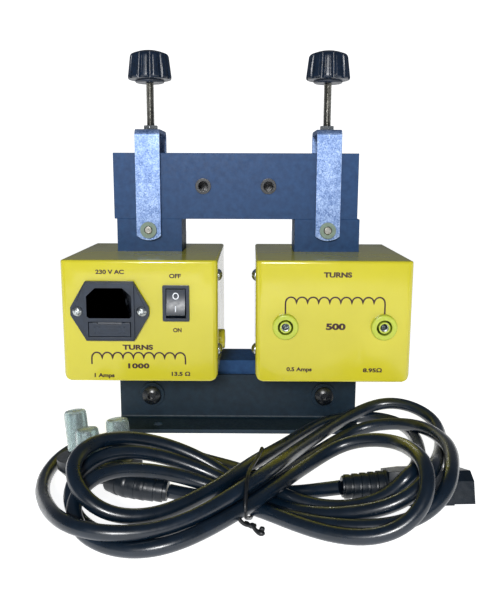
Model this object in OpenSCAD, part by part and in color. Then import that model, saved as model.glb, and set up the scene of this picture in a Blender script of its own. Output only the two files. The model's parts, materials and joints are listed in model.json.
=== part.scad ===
// Dissectible transformer: a U-shaped laminated core on a pair of angle
// brackets, a loose yoke held down by two swinging stirrup clamps, and two
// boxed coils that drop over the limbs. A detachable mains lead lies in front.
// Millimetres. X runs along the yoke, -Y is the front, +Z is up. The origin is
// the centre of the four holes in the base, on the plane that it stands on.

/* [Core] */
// Width of each limb, and height of both yokes
limb_w = 40; // [39:0.5:40.4]
// Depth of the lamination stack
core_d = 30; // [29:0.5:30.4]
// Distance between the centres of the limbs
limb_pitch = 110; // [108:1:112]
// Height of the top of the limbs above the table
limb_top = 130; // [129:0.5:130]
// Length of the loose yoke
yoke_l = 150; // [146:1:152]

/* [Coil boxes] */
// Width of a coil box
box_w = 88.5; // [87:0.5:90]
// Height of a coil box
box_h = 70; // [68:1:71]
// Wall of a coil box
wall = 2.5; // [2:0.25:3]
// Radius of the upright front edges
edge_r = 3.4; // [2.8:0.2:6]

/* [Base] */
// Thickness of the bracket sheet
sheet_t = 2.5; // [2:0.25:3]
// Height of the upright web of a bracket
web_h = 31; // [28:1:34]
// Radius of the four table holes
base_hole_r = 3; // [2.5:0.25:3.5]

/* [Clamps] */
// Width of the stirrup strap
strap_w = 15; // [13:1:16]
// Thickness of the stirrup strap
strap_t = 2.2; // [2:0.1:2.5]
// Radius of the clamp screw
screw_r = 2.5; // [2.3:0.05:2.5]
// Largest radius of the knob
knob_r = 13.5; // [12.5:0.5:14]

/* [Sockets] */
// Bore radius of the two plug sockets
socket_r = 2; // [1.95:0.05:2.05]

/* [Hidden] */
$fn = 48;

hp = limb_pitch / 2;          // limb centre
hd = core_d / 2;              // half depth of the core
span = limb_pitch + limb_w;   // overall width of the core
bot_h = 40;                   // height of the lower yoke
yoke_x = -1.5;                // the yoke sits slightly to the left
yoke_hole_dx = 20;            // yoke hole spacing, half
bolt_z = 18;                  // clamp bolts of the brackets
pin_z = 123.4;                // stirrup pivot
fl_y = 39.5;                  // outer edge of a bracket flange
box_z0 = 40;
box_y0 = -62;                 // front of the coil boxes
box_y1 = 34;                  // rear of the coil boxes
bridge_z = 181.8;             // underside of the stirrup's bridge
leg_in = 16.3;                // inside of the stirrup's legs
pad_z = 175.2;                // underside of the pad when backed off
inlet_x = -71.3;
inlet_z = 81.3;
switch_x = -34.1;
switch_z = 85.8;
rocker_y = -61;               // rocker axis
socket_x = [27.6, 83.2];
socket_z = 72.6;

yellow = [0.84, 0.80, 0.26];
steel_blue = [0.24, 0.36, 0.50];
base_blue = [0.17, 0.27, 0.37];
zinc = [0.72, 0.76, 0.84];
black = [0.10, 0.13, 0.16];
nickel = [0.78, 0.78, 0.76];

// ---------- plane helpers ----------

// removes the sharp corner of an outline at p; d points into the outline
module corner_cut(p, d, r) {
  difference() {
    translate([d[0] > 0 ? p[0] - 1 : p[0] - r, d[1] > 0 ? p[1] - 1 : p[1] - r]) square(r + 1);
    translate([p[0] + d[0] * r, p[1] + d[1] * r]) circle(r);
  }
}

// rectangle x0..x1, y0..y1 with lower corners ra and upper corners rb
module soft_rect(x0, y0, x1, y1, ra, rb) {
  difference() {
    translate([x0, y0]) square([x1 - x0, y1 - y0]);
    corner_cut([x0, y0], [1, 1], ra);
    corner_cut([x1, y0], [-1, 1], ra);
    corner_cut([x0, y1], [1, -1], rb);
    corner_cut([x1, y1], [-1, -1], rb);
  }
}

// stands a plane outline (x, z) up and gives it depth from y0 to y1
module upright(y0, y1) {
  translate([0, y1, 0]) rotate([90, 0, 0]) linear_extrude(y1 - y0) children();
}

// turns a profile (y, z) into a bar from x0 to x1
module along_x(x0, x1) {
  translate([x0, 0, 0]) rotate([90, 0, 90]) linear_extrude(x1 - x0) children();
}

// cylinder along Y
module rod_y(x, z, r, y0, y1) {
  translate([x, y1, z]) rotate([90, 0, 0]) cylinder(h = y1 - y0, r = r);
}

// turned shape whose axis points towards the front; profile is (radius, reach)
module turned_front(x, y, z) {
  translate([x, y, z]) rotate([90, 0, 0]) rotate_extrude() children();
}

// ---------- base ----------

module bracket_profile() {
  ri = 1.5;
  ro = ri + sheet_t;
  difference() {
    union() {
      translate([-hd - sheet_t, 0]) square([sheet_t, web_h]);
      translate([-fl_y, 0]) square([fl_y - hd, sheet_t]);
      difference() {
        translate([-hd - sheet_t - ri, sheet_t - 0.5]) square([ri + 0.5, ri + 0.5]);
        translate([-hd - sheet_t - ri, sheet_t + ri]) circle(ri);
      }
    }
    difference() {
      translate([-hd - ro, -1]) square([ro + 1, ro + 1]);
      translate([-hd - ro, ro]) circle(ro);
    }
  }
}

module bracket() {
  difference() {
    along_x(-75.5, 75.5) bracket_profile();
    for (x = [-50, 50]) translate([x, -30, -1]) cylinder(h = sheet_t + 2, r = base_hole_r);
    for (x = [-hp, hp]) rod_y(x, bolt_z, 3.2, -hd - sheet_t - 1, -hd + 1);
  }
}
module bracket_front() { color(base_blue) bracket(); }
module bracket_rear() { color(base_blue) mirror([0, 1, 0]) bracket(); }

module bracket_bolts() {
  f = hd + sheet_t + 1.5;
  color(black) for (x = [-hp, hp]) {
    difference() {
      turned_front(x, -f, bolt_z) difference() {
        intersection() {
          translate([0, -5.2]) circle(9.6);
          square([5.9, 4.4]);
        }
      }
      translate([x, -f - 1.6, bolt_z]) rotate([90, 0, 0]) cylinder(h = 5, r = 2.3, $fn = 6);
    }
    rod_y(x, bolt_z, 3, -f, f + 8);
  }
}
module bracket_washers() {
  color([0.16, 0.22, 0.30]) for (x = [-hp, hp]) for (s = [-1, 1])
    difference() {
      rod_y(x, bolt_z, 7.8, s < 0 ? -hd - sheet_t - 1.5 : hd + sheet_t, s < 0 ? -hd - sheet_t : hd + sheet_t + 1.5);
      rod_y(x, bolt_z, 3.2, -40, 40);
    }
}
module bracket_nuts() {
  y = hd + sheet_t + 1.5;
  color(black) for (x = [-hp, hp]) difference() {
    intersection() {
      translate([x, y + 5, bolt_z]) rotate([90, 0, 0]) cylinder(h = 5, r = 5.75, $fn = 6);
      translate([x, y + 5, bolt_z]) rotate([90, 0, 0]) rotate_extrude()
        polygon([[0, 0], [5.1, 0], [5.8, 0.5], [5.8, 5], [0, 5]]);
    }
    rod_y(x, bolt_z, 3.05, y - 1, y + 6);
  }
}

// ---------- core ----------

module u_core() {
  color(steel_blue) difference() {
    union() {
      translate([-span / 2, -hd, 0]) cube([span, core_d, bot_h]);
      for (s = [-1, 1]) translate([s * hp - limb_w / 2, -hd, bot_h - 1]) cube([limb_w, core_d, limb_top - bot_h + 1]);
    }
    for (x = [-hp, hp]) {
      rod_y(x, bolt_z, 3.2, -hd - 1, hd + 1);
      rod_y(x, pin_z, 2.5, -hd - 1, hd + 1);
    }
  }
}

module yoke() {
  color(steel_blue) difference() {
    translate([yoke_x - yoke_l / 2, -hd, limb_top]) cube([yoke_l, core_d, 40]);
    for (s = [-1, 1]) rod_y(yoke_x + s * yoke_hole_dx, limb_top + 20, 4, -hd - 1, hd + 1);
  }
}

module yoke_bushes() {
  color([0.3, 0.36, 0.42]) for (s = [-1, 1]) difference() {
    union() {
      rod_y(yoke_x + s * yoke_hole_dx, limb_top + 20, 4, -hd - 0.4, hd + 0.4);
      for (t = [-1, 1]) rod_y(yoke_x + s * yoke_hole_dx, limb_top + 20, 4.8, t < 0 ? -hd - 0.8 : hd, t < 0 ? -hd : hd + 0.8);
    }
    // a bore from each side, with a web left in the middle
    rod_y(yoke_x + s * yoke_hole_dx, limb_top + 20, 3, -hd - 2, -1.5);
    rod_y(yoke_x + s * yoke_hole_dx, limb_top + 20, 3, 1.5, hd + 2);
  }
}

module pivot_pins() {
  e = leg_in + strap_t + 1.9;
  color([0.55, 0.55, 0.50]) for (x = [-hp, hp]) {
    rod_y(x, pin_z, 2.5, -e, e);
    for (s = [0, 1]) mirror([0, s, 0]) turned_front(x, -e, pin_z)
      polygon([[0, 0], [2.5, 0], [2.1, 0.4], [0, 0.4]]);
  }
}

module pin_washers() {
  y = leg_in + strap_t + 0.3;
  color([0.85, 0.88, 0.82]) for (x = [-hp, hp]) for (s = [0, 1]) mirror([0, s, 0]) difference() {
    rod_y(x, pin_z, 5, -y - 1.4, -y);
    rod_y(x, pin_z, 2.5, -y - 2, -y + 1);
  }
}

// ---------- clamps, drawn for x = 0 ----------

module stirrup() {
  lo = leg_in + strap_t;
  top = bridge_z + strap_t;
  ro = 4.2;
  color(zinc) difference() {
    intersection() {
      along_x(-strap_w / 2, strap_w / 2) difference() {
        soft_rect(-lo, 110, lo, top, 0.5, ro);
        soft_rect(-leg_in, 100, leg_in, bridge_z, 0.3, 0.3);
      }
      upright(-30, 30) union() {
        translate([-strap_w / 2, 127]) square([strap_w, 80]);
        intersection() {
          translate([0, 128.4]) circle(11.4);
          translate([-strap_w / 2, 110]) square([strap_w, 18]);
        }
      }
    }
    rod_y(0, pin_z, 2.55, -30, 30);
    translate([0, 0, bridge_z - 1]) cylinder(h = 10, r = screw_r + 0.05);
  }
}

module stirrup_nut() {
  z = bridge_z + strap_t;
  color(zinc) difference() {
    intersection() {
      translate([0, 0, z]) rotate([0, 0, 30]) cylinder(h = 3, r = 4.62, $fn = 6);
      translate([0, 0, z]) rotate_extrude() polygon([[0, 0], [4.7, 0], [4.7, 2.6], [4.1, 3], [0, 3]]);
    }
    translate([0, 0, z - 1]) cylinder(h = 6, r = screw_r + 0.05);
  }
}

module clamp_screw() {
  color([0.45, 0.45, 0.50]) union() {
    translate([0, 0, pad_z + 4.9]) cylinder(h = 220 - pad_z - 4.9, r = screw_r);
    translate([0, 0, pad_z + 2.0]) cylinder(h = 4, r = 1.9);
  }
}

module pressure_pad() {
  color([0.5, 0.5, 0.52]) translate([0, 0, pad_z]) rotate_extrude()
    polygon([[0, 0], [5.2, 0], [5.6, 0.4], [5.6, 2.2], [3.9, 4.5], [1.95, 4.5], [1.95, 1.8], [0, 1.8]]);
}

module knob() {
  color(black) difference() {
    translate([0, 0, 212.5]) rotate_extrude() intersection() {
      polygon([[0, 0], [8.2, 0], [8.9, 0.7], [8.9, 1.8], [knob_r - 1, 1.8], [knob_r - 0.3, 2.1], [knob_r, 2.9], [knob_r, 3.6],
        [11.9, 15.2], [11.6, 16.2], [10.9, 17], [10, 20], [0, 20]]);
      // shallow dome on top
      translate([0, -6.6]) circle(26, $fn = 96);
    }
    translate([0, 0, 212]) cylinder(h = 8, r = screw_r);
    for (i = [0 : 11]) rotate([0, 0, i * 30 + 8])
      translate([knob_r + 0.55, 0, 214]) rotate([0, -7.2, 0]) cylinder(h = 22, r = 1.5);
  }
}

// ---------- coil boxes, drawn for the left limb centre ----------

module box_blank(grow) {
  w = box_w / 2 + grow;
  intersection() {
    translate([0, 0, box_z0 - grow]) linear_extrude(box_h + 2 * grow)
      soft_rect(-w, box_y0 - grow, w, box_y1 + (grow < 0 ? 5 : 0), edge_r + grow, grow < 0 ? 0.5 : 1.5);
    upright(box_y0 - grow, box_y1 + (grow < 0 ? 5 : 0))
      soft_rect(-w, box_z0 - grow, w, box_z0 + box_h + grow, 5 + grow, grow < 0 ? 0.6 : 2);
  }
}

// s is +1 when the inner side (with the two screws) is towards +X
module cover_shell(s) {
  difference() {
    union() {
      difference() {
        box_blank(0);
        box_blank(-wall);
      }
      intersection() {
        box_blank(-0.5);
        for (x = [-38.2, 38.2]) for (z = [46.2, 103.8]) translate([x - 3.8, 18, z - 4]) cube([7.6, 13.3, 8]);
      }
    }
    translate([-limb_w / 2 - 0.5, -hd - 0.5, 0]) cube([limb_w + 1, core_d + 1, 150]);
    for (z = [56.5, 100.3]) translate([s * (box_w / 2 - wall - 1), -50, z]) rotate([0, s * 90, 0]) cylinder(h = wall + 2, r = 1.9);
    for (x = [-38.2, 38.2]) for (z = [46.2, 103.8]) rod_y(x, z, 1.2, 19, 32);
  }
}

module back_plate() {
  difference() {
    upright(31.4, 33.6) soft_rect(-41.6, box_z0 + 2.7, 41.6, box_z0 + box_h - 2.7, 3, 1);
    for (x = [-38.2, 38.2]) for (z = [46.2, 103.8]) rod_y(x, z, 1.6, 30, 35);
  }
}

module back_screws() {
  for (x = [-38.2, 38.2]) for (z = [46.2, 103.8]) {
    rod_y(x, z, 1.2, 22, 33.6);
    mirror([0, 1, 0]) turned_front(x, -33.6, z) difference() {
      intersection() {
        translate([0, -2.2]) circle(3.7);
        square([3, 1.5]);
      }
      translate([0, 0.9]) square([0.7, 1]);
    }
  }
}

module bobbin(s) {
  difference() {
    union() {
      translate([-22.4, -17.4, 42.6]) cube([44.8, 34.8, 64.8]);
      for (z = [42.6, 105.4]) {
        translate([-33.5, -30.5, z]) cube([67, 61, 2]);
        translate([s > 0 ? 31 : -39, -54, z]) cube([8, 24, 2]);
        translate([s > 0 ? 25 : -39, -30.5, z]) cube([14, 8, 2]);
      }
      translate([s > 0 ? 33.4 : -41.4, -54, 45.4]) cube([8, 8, 61.6]);
      translate([s > 0 ? 33.4 : -39, -54, 44]) cube([5.6, 8, 4]);
    }
    translate([-20.5, -15.5, 40]) cube([41, 31, 80]);
    for (z = [56.5, 100.3]) translate([s * 30, -50, z]) rotate([0, s * 90, 0]) cylinder(h = 13, r = 1.5);
  }
}

module winding() {
  difference() {
    translate([0, 0, 44.6]) linear_extrude(60.8) soft_rect(-32, -29, 32, 29, 8, 8);
    translate([-22.4, -17.4, 40]) cube([44.8, 34.8, 80]);
  }
}

module side_screws(s) {
  for (z = [56.5, 100.3]) {
    translate([s * 34.5, -50, z]) rotate([0, s * 90, 0]) cylinder(h = box_w / 2 - 34.5, r = 1.5);
    translate([s * box_w / 2, -50, z]) rotate([0, s * 90, 0]) rotate_extrude() intersection() {
      translate([0, -1.5]) circle(3.9);
      square([3.4, 3]);
    }
  }
}

// cut-outs in the primary box front
module primary_front_cuts() {
  translate([inlet_x - 14, box_y0 - 1, inlet_z - 15.6]) cube([28, wall + 2, 31.2]);
  for (s = [-18, 18]) rod_y(inlet_x + s, inlet_z, 1.6, box_y0 - 1, box_y0 + wall + 1);
  translate([switch_x - 6.6, box_y0 - 1, switch_z - 9.5]) cube([13.2, wall + 2, 19]);
}

module primary_cover() {
  color(yellow) {
    difference() {
      union() {
        translate([-hp, 0, 0]) cover_shell(1);
        // small moulded lug on the inner side
        translate([-hp + box_w / 2 - 1, -33, 58.5]) rotate([0, 90, 0]) rotate_extrude()
          polygon([[0, 0], [6, 0], [6, 3], [5, 4.2], [0, 4.2]]);
      }
      primary_front_cuts();
    }
  }
}
module primary_back_plate() { color(yellow) translate([-hp, 0, 0]) back_plate(); }
module primary_back_screws() { color(zinc) translate([-hp, 0, 0]) back_screws(); }
module primary_bobbin() { color([0.9, 0.9, 0.85]) translate([-hp, 0, 0]) bobbin(1); }
module primary_winding() { color([0.72, 0.42, 0.22]) translate([-hp, 0, 0]) winding(); }
module primary_side_screws() { color(nickel) translate([-hp, 0, 0]) side_screws(1); }

module secondary_cover() {
  color(yellow) difference() {
    translate([hp, 0, 0]) cover_shell(-1);
    for (x = socket_x) rod_y(x, socket_z, 5.6, box_y0 - 1, box_y0 + wall + 1);
  }
}
module secondary_back_plate() { color(yellow) translate([hp, 0, 0]) back_plate(); }
module secondary_back_screws() { color(zinc) translate([hp, 0, 0]) back_screws(); }
module secondary_bobbin() { color([0.9, 0.9, 0.85]) translate([hp, 0, 0]) bobbin(-1); }
module secondary_winding() { color([0.72, 0.42, 0.22]) translate([hp, 0, 0]) winding(); }
module secondary_side_screws() { color(nickel) translate([hp, 0, 0]) side_screws(-1); }

// ---------- mains inlet ----------

cav_z = 4.9;   // cavity centre above the inlet centre
drw_z = -10.2; // drawer centre below the inlet centre

module inlet_housing() {
  y = box_y0;
  color(black) difference() {
    union() {
      upright(y - 2.6, y) translate([inlet_x, inlet_z])
        polygon([[-13.5, -17], [13.5, -17], [22.15, -2.2], [22.15, 2.2], [13.5, 17], [-13.5, 17], [-22.15, 2.2], [-22.15, -2.2]]);
      upright(y - 3.8, y - 2) translate([inlet_x, inlet_z]) soft_rect(-14, -16, 14, 16.2, 0.8, 0.8);
      translate([inlet_x - 13.8, y - 0.5, inlet_z - 15.4]) cube([27.6, 25, 30.8]);
    }
    // cavity for the connector, its two upper corners cut off
    upright(y - 5, y + 12) translate([inlet_x, inlet_z + cav_z])
      polygon([[-12.5, -7.4], [-11.5, -8.4], [11.5, -8.4], [12.5, -7.4], [12.5, 3.8], [7.6, 8.4], [-7.6, 8.4], [-12.5, 3.8]]);
    // slot for the fuse drawer
    translate([inlet_x - 12, y - 5, inlet_z + drw_z - 4.3]) cube([24, 26, 8.6]);
    for (s = [-18, 18]) rod_y(inlet_x + s, inlet_z, 1.6, y - 4, y + 1);
    for (p = [[-7, -1.4], [7, -1.4], [0, 1.9]]) translate([inlet_x + p[0] - 1, y, inlet_z + cav_z + p[1] - 2]) cube([2, 26, 4]);
  }
}

module inlet_pins() {
  color(nickel) for (p = [[-7, -1.4], [7, -1.4], [0, 1.9]])
    translate([inlet_x + p[0], 0, inlet_z + cav_z + p[1]]) difference() {
      translate([-1, box_y0 - (p[0] == 0 ? 2.4 : 1), -2]) cube([2, 31 + (p[0] == 0 ? 1.4 : 0), 4]);
      translate([-2, box_y0 + 27, 0]) rotate([0, 90, 0]) cylinder(h = 4, r = 0.8);
    }
}

module inlet_screws() {
  color(nickel) for (s = [-18, 18]) {
    turned_front(inlet_x + s, box_y0 - 2.6, inlet_z) intersection() {
      translate([0, -2.2]) circle(3.72);
      square([3, 1.5]);
    }
    rod_y(inlet_x + s, inlet_z, 1.5, box_y0 - 2.6, box_y0 + 8);
  }
}
module inlet_nuts() {
  color(nickel) for (s = [-18, 18]) difference() {
    translate([inlet_x + s, box_y0 + wall + 2.4, inlet_z]) rotate([90, 0, 0]) cylinder(h = 2.4, r = 3.2, $fn = 6);
    rod_y(inlet_x + s, inlet_z, 1.5, box_y0, box_y0 + 8);
  }
}

module fuse_drawer() {
  y = box_y0 - 3.8;
  color(black) translate([inlet_x, 0, inlet_z + drw_z]) difference() {
    translate([-11.7, y, -4]) cube([23.4, 24, 8]);
    translate([-10.4, y + 15.6, -2.8]) cube([20.8, 6.4, 8]);
    translate([-10.4, y + 2, -2.8]) cube([20.8, 12, 8]);
    translate([-7, y - 1, 3.1]) cube([14, 2, 2]);
  }
}

module fuse_link() {
  y = box_y0 - 3.8 + 18.8;
  translate([inlet_x, y, inlet_z + drw_z - 0.2]) rotate([0, 90, 0]) {
    color(nickel) for (z = [-10, 5]) translate([0, 0, z]) cylinder(h = 5, r = 2.6);
    color([0.8, 0.9, 0.9, 0.5]) translate([0, 0, -5]) cylinder(h = 10, r = 2.4);
  }
}

// ---------- switch ----------

module switch_frame() {
  y = box_y0;
  color(black) difference() {
    union() {
      upright(y - 1.8, y) translate([switch_x, switch_z]) soft_rect(-7.5, -10.25, 7.5, 10.25, 0.8, 0.8);
      translate([switch_x - 6.4, y - 0.5, switch_z - 9.3]) cube([12.8, 16, 18.6]);
    }
    translate([switch_x - 5.6, y - 3, switch_z - 8.5]) cube([11.2, 10, 17]);
    translate([switch_x - 6.2, rocker_y, switch_z]) rotate([0, 90, 0]) cylinder(h = 12.4, r = 1.05);
    for (z = [-4, 4]) translate([switch_x - 2.6, y + 12, switch_z + z - 0.6]) cube([5.2, 6, 1.2]);
  }
}

module switch_rocker() {
  color([0.13, 0.16, 0.20]) {
    translate([0, rocker_y, switch_z]) rotate([-12, 0, 0]) along_x(switch_x - 5.3, switch_x + 5.3)
      polygon([[-4.6, 7.2], [-3.07, 0], [-4.6, -7.2], [0, -7.8], [3.5, -4], [3.5, 4], [0, 7.8]]);
    translate([switch_x - 6.1, rocker_y, switch_z]) rotate([0, 90, 0]) cylinder(h = 12.2, r = 1);
  }
}

module switch_terminals() {
  color(nickel) for (z = [-4, 4]) translate([switch_x - 2.4, box_y0 + 12, switch_z + z - 0.4]) difference() {
    cube([4.8, 11.5, 0.8]);
    translate([2.4, 9, -1]) cylinder(h = 3, r = 0.8);
  }
}

// ---------- plug sockets ----------

module socket_bushes() {
  color([0.73, 0.80, 0.29]) for (x = socket_x) turned_front(x, box_y0, socket_z) difference() {
    union() {
      soft_rect(-2, 0, 7.3, 3, 0.05, 1);
      translate([0, -20]) square([5.5, 20.5]);
    }
    translate([-9, -30]) square([9, 40]);
    // ring groove round the inner sleeve
    translate([3.2, -16]) square([1.2, 30]);
    // bore of the sleeve, with a seat for the contact tube
    translate([-1, -30]) square([3.4, 40]);
    translate([-1, -30]) square([3.6, 31]);
  }
}

module socket_contacts() {
  color(nickel) for (x = socket_x) difference() {
    rod_y(x, socket_z, 2.6, box_y0 - 0.9, box_y0 + 26);
    rod_y(x, socket_z, socket_r, box_y0 - 2, box_y0 + 19);
  }
}

module socket_nuts() {
  color(nickel) for (x = socket_x) difference() {
    translate([x, box_y0 + wall + 3, socket_z]) rotate([90, 0, 0]) cylinder(h = 3, r = 8, $fn = 6);
    rod_y(x, socket_z, 5.5, box_y0, box_y0 + 8);
  }
}

// ---------- mains lead, lying in front of the base ----------

lead_r = 3.5;
cross = [9, -134];  // where the two lobes of the bundle cross

// drop-shaped lobe: l long, w half width, tip at the origin, belly towards +x
function lobe(l, w, n = 36) = [for (i = [0 : n - 1]) let (a = 360 * i / n)
  [l * (1 - cos(a)) / 2, w * sin(a) * sin(a / 2) * 1.3]];

module lobe_ring(l, w, t) {
  difference() {
    polygon(lobe(l, w));
    translate([l * 0.2, 0]) polygon(lobe(l * 0.8 - t, w - t));
  }
}

module lead_bundle() {
  color(black) difference() {
    union() {
      translate([cross[0] + 6, cross[1], 0]) {
        rotate([0, 0, 178]) linear_extrude(27) lobe_ring(114, 66, 22);
        translate([-12, 0, 0]) rotate([0, 0, 17]) linear_extrude(27) lobe_ring(126, 74, 22);
      }
      translate([cross[0], cross[1], 0]) cylinder(h = 29, r = 13);
    }
    // stays clear of the front bracket
    translate([-82, -44, -1]) cube([164, 90, 8.5]);
    translate([-82, -25, -1]) cube([162, 60, 60]);
  }
}

// tube along a route: one ring of n points at each route point
function unit(v) = v / norm(v);
function route_dir(p, i) = unit(p[min(i + 1, len(p) - 1)] - p[max(i - 1, 0)]);
module route_tube(p, r, n = 10) {
  pts = [for (i = [0 : len(p) - 1]) let (d = route_dir(p, i), u = unit(cross3(d, [0, 0, 1])), v = cross3(u, d))
    for (k = [0 : n - 1]) p[i] + r * (u * cos(360 * k / n) + v * sin(360 * k / n))];
  sides = [for (i = [0 : len(p) - 2]) for (k = [0 : n - 1])
    [i * n + k, i * n + (k + 1) % n, (i + 1) * n + (k + 1) % n, (i + 1) * n + k]];
  ends = [[for (k = [0 : n - 1]) n - 1 - k], [for (k = [0 : n - 1]) (len(p) - 1) * n + k]];
  polyhedron(points = pts, faces = concat(sides, ends), convexity = 4);
}
function cross3(a, b) = [a[1] * b[2] - a[2] * b[1], a[2] * b[0] - a[0] * b[2], a[0] * b[1] - a[1] * b[0]];

// from the plug's relief into the crossing
tail_plug = [[-31, -132, 6], [-24, -133, 5], [-16, -134, 4.3], [-8, -135, 4], [0, -136, 3.8], [8, -137, 3.6]];
// from the crossing to the connector's relief
tail_connector = [[10, -127, 3.6], [18, -129, 3.8], [26, -131.5, 4.8], [34, -134.2, 7], [42, -136.2, 9.2], [51, -137.3, 11]];

module lead_tail_plug() { color(black) route_tube(tail_plug, lead_r); }
module lead_tail_connector() { color(black) route_tube(tail_connector, lead_r); }

module lead_tie() {
  color([0.06, 0.07, 0.08]) {
    translate([cross[0] + 1, cross[1] - 1, 14.8]) rotate([0, 90, -8]) rotate_extrude() translate([13.6, 0]) circle(0.9);
    translate([cross[0] - 1, cross[1] - 13, 6]) rotate([0, 112, -52]) cylinder(h = 12, r = 0.9);
    translate([cross[0] - 9, cross[1] - 9, 5]) rotate([0, 94, -40]) cylinder(h = 14, r = 0.9);
  }
}

// plug: three round pins up, leaning a little back and to the left
plug_at = [-71.3, -108.5, 15.6];
plug_turn = -40;
plug_tilt = 6;
plug_lean = -6;
module plug_frame() { translate(plug_at) rotate([-plug_tilt, plug_lean, 0]) rotate([0, 0, plug_turn]) children(); }
plug_pins = [[-14.8, 0, 3.5, 20], [7.4, 9.5, 2.5, 15], [7.4, -9.5, 2.5, 15]];

module lead_plug() {
  color(black) {
    difference() {
      plug_frame() hull() {
        translate([-3, 0, -5]) cylinder(h = 5, r = 18.5, $fn = 40);
        translate([-4, 0, -13]) cylinder(h = 2, r = 12, $fn = 32);
        translate([11, 9, -9]) cylinder(h = 7, r = 9, $fn = 32);
        translate([11, -9, -9]) cylinder(h = 7, r = 9, $fn = 32);
        translate([15, 0, -11]) cylinder(h = 8, r = 8.5, $fn = 32);
      }
      translate([-200, -300, -50]) cube([300, 400, 50]);
    }
    // ribbed relief, bending level with the table
    for (i = [0 : 2]) hull() for (j = [i, i + 1])
      translate(plug_relief[j]) rotate([0, 94, plug_relief_turn[j]]) cylinder(h = 1, r = plug_relief_r[j], $fn = 24);
  }
}
plug_relief = [[-60, -124, 9.4], [-52, -128.6, 8.4], [-43, -130.9, 7.3], [-33, -131.9, 6.2]];
plug_relief_r = [7.2, 6.7, 6, 4.9];
plug_relief_turn = [-32, -24, -12, -6];

module lead_plug_pins() {
  color(nickel) plug_frame() for (p = plug_pins) translate([p[0], p[1], -5]) {
    cylinder(h = p[3] + 4.2, r = p[2]);
    translate([0, 0, p[3] + 4.2]) cylinder(h = 0.8, r1 = p[2], r2 = p[2] - 0.8);
  }
}

module lead_pin_sleeves() {
  color([0.75, 0.82, 0.88, 0.5]) plug_frame() for (p = plug_pins) translate([p[0], p[1], 0.3]) difference() {
    cylinder(h = p[3] + 1, r = 6);
    translate([0, 0, -1]) cylinder(h = p[3] + 0.8, r = 4.9);
  }
}

conn_at = [75.5, -136, 11.4];
conn_turn = 3;
conn_roll = -18; // rests on its far lower edge
module conn_frame() { translate(conn_at) rotate([0, 0, conn_turn]) rotate([conn_roll, 0, 0]) children(); }

module lead_connector() {
  color(black) conn_frame() difference() {
    union() {
      // body
      hull() {
        translate([6, -12.5, -7.8]) cube([20, 25, 15.6]);
        translate([-3, -8.5, -7.4]) cube([2, 17, 14.8]);
      }
      // nose that enters the inlet
      translate([25, 0, 0]) rotate([90, 0, 90]) linear_extrude(11)
        polygon([[-11.7, -7.4], [11.7, -7.4], [11.7, 3], [7.2, 7.4], [-7.2, 7.4], [-11.7, 3]]);
      // relief
      translate([-24, 0, 0]) rotate([0, 90, 0]) cylinder(h = 22, r1 = 5, r2 = 7);
    }
    for (p = [[-7, -1.2], [7, -1.2], [0, 2]]) translate([21.5, p[0] - 1.4, p[1] - 2.4]) cube([20, 2.8, 4.8]);
  }
}

module lead_connector_contacts() {
  color(nickel) conn_frame() for (p = [[-7, -1.2], [7, -1.2], [0, 2]])
    translate([21.7, p[0] - 1.3, p[1] - 2.3]) difference() {
      cube([12.5, 2.6, 4.6]);
      translate([0.6, 0.4, 0.4]) cube([20, 1.8, 3.8]);
    }
}

// ---------- left and right clamps ----------

module stirrup_left() { translate([-hp, 0, 0]) stirrup(); }
module stirrup_right() { translate([hp, 0, 0]) stirrup(); }
module stirrup_nut_left() { translate([-hp, 0, 0]) stirrup_nut(); }
module stirrup_nut_right() { translate([hp, 0, 0]) stirrup_nut(); }
module clamp_screw_left() { translate([-hp, 0, 0]) clamp_screw(); }
module clamp_screw_right() { translate([hp, 0, 0]) clamp_screw(); }
module knob_left() { translate([-hp, 0, 0]) knob(); }
module knob_right() { translate([hp, 0, 0]) knob(); }
module pressure_pad_left() { translate([-hp, 0, 0]) pressure_pad(); }
module pressure_pad_right() { translate([hp, 0, 0]) pressure_pad(); }

bracket_front();
bracket_rear();
bracket_bolts();
bracket_washers();
bracket_nuts();
u_core();
yoke();
yoke_bushes();
pivot_pins();
pin_washers();
stirrup_left();
stirrup_nut_left();
clamp_screw_left();
knob_left();
pressure_pad_left();
stirrup_right();
stirrup_nut_right();
clamp_screw_right();
knob_right();
pressure_pad_right();
primary_cover();
primary_back_plate();
primary_back_screws();
primary_bobbin();
primary_winding();
primary_side_screws();
inlet_housing();
inlet_pins();
inlet_screws();
inlet_nuts();
fuse_drawer();
fuse_link();
switch_frame();
switch_rocker();
switch_terminals();
secondary_cover();
secondary_back_plate();
secondary_back_screws();
secondary_bobbin();
secondary_winding();
secondary_side_screws();
socket_bushes();
socket_contacts();
socket_nuts();
lead_bundle();
lead_tail_plug();
lead_tail_connector();
lead_tie();
lead_plug();
lead_plug_pins();
lead_pin_sleeves();
lead_connector();
lead_connector_contacts();
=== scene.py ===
"""Looks of the dissectible transformer, built round its CAD frame. Lengths here are millimetres unless said."""

import json
import math

import bmesh
import bpy
import numpy as np
from mathutils import Matrix, Vector


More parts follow.
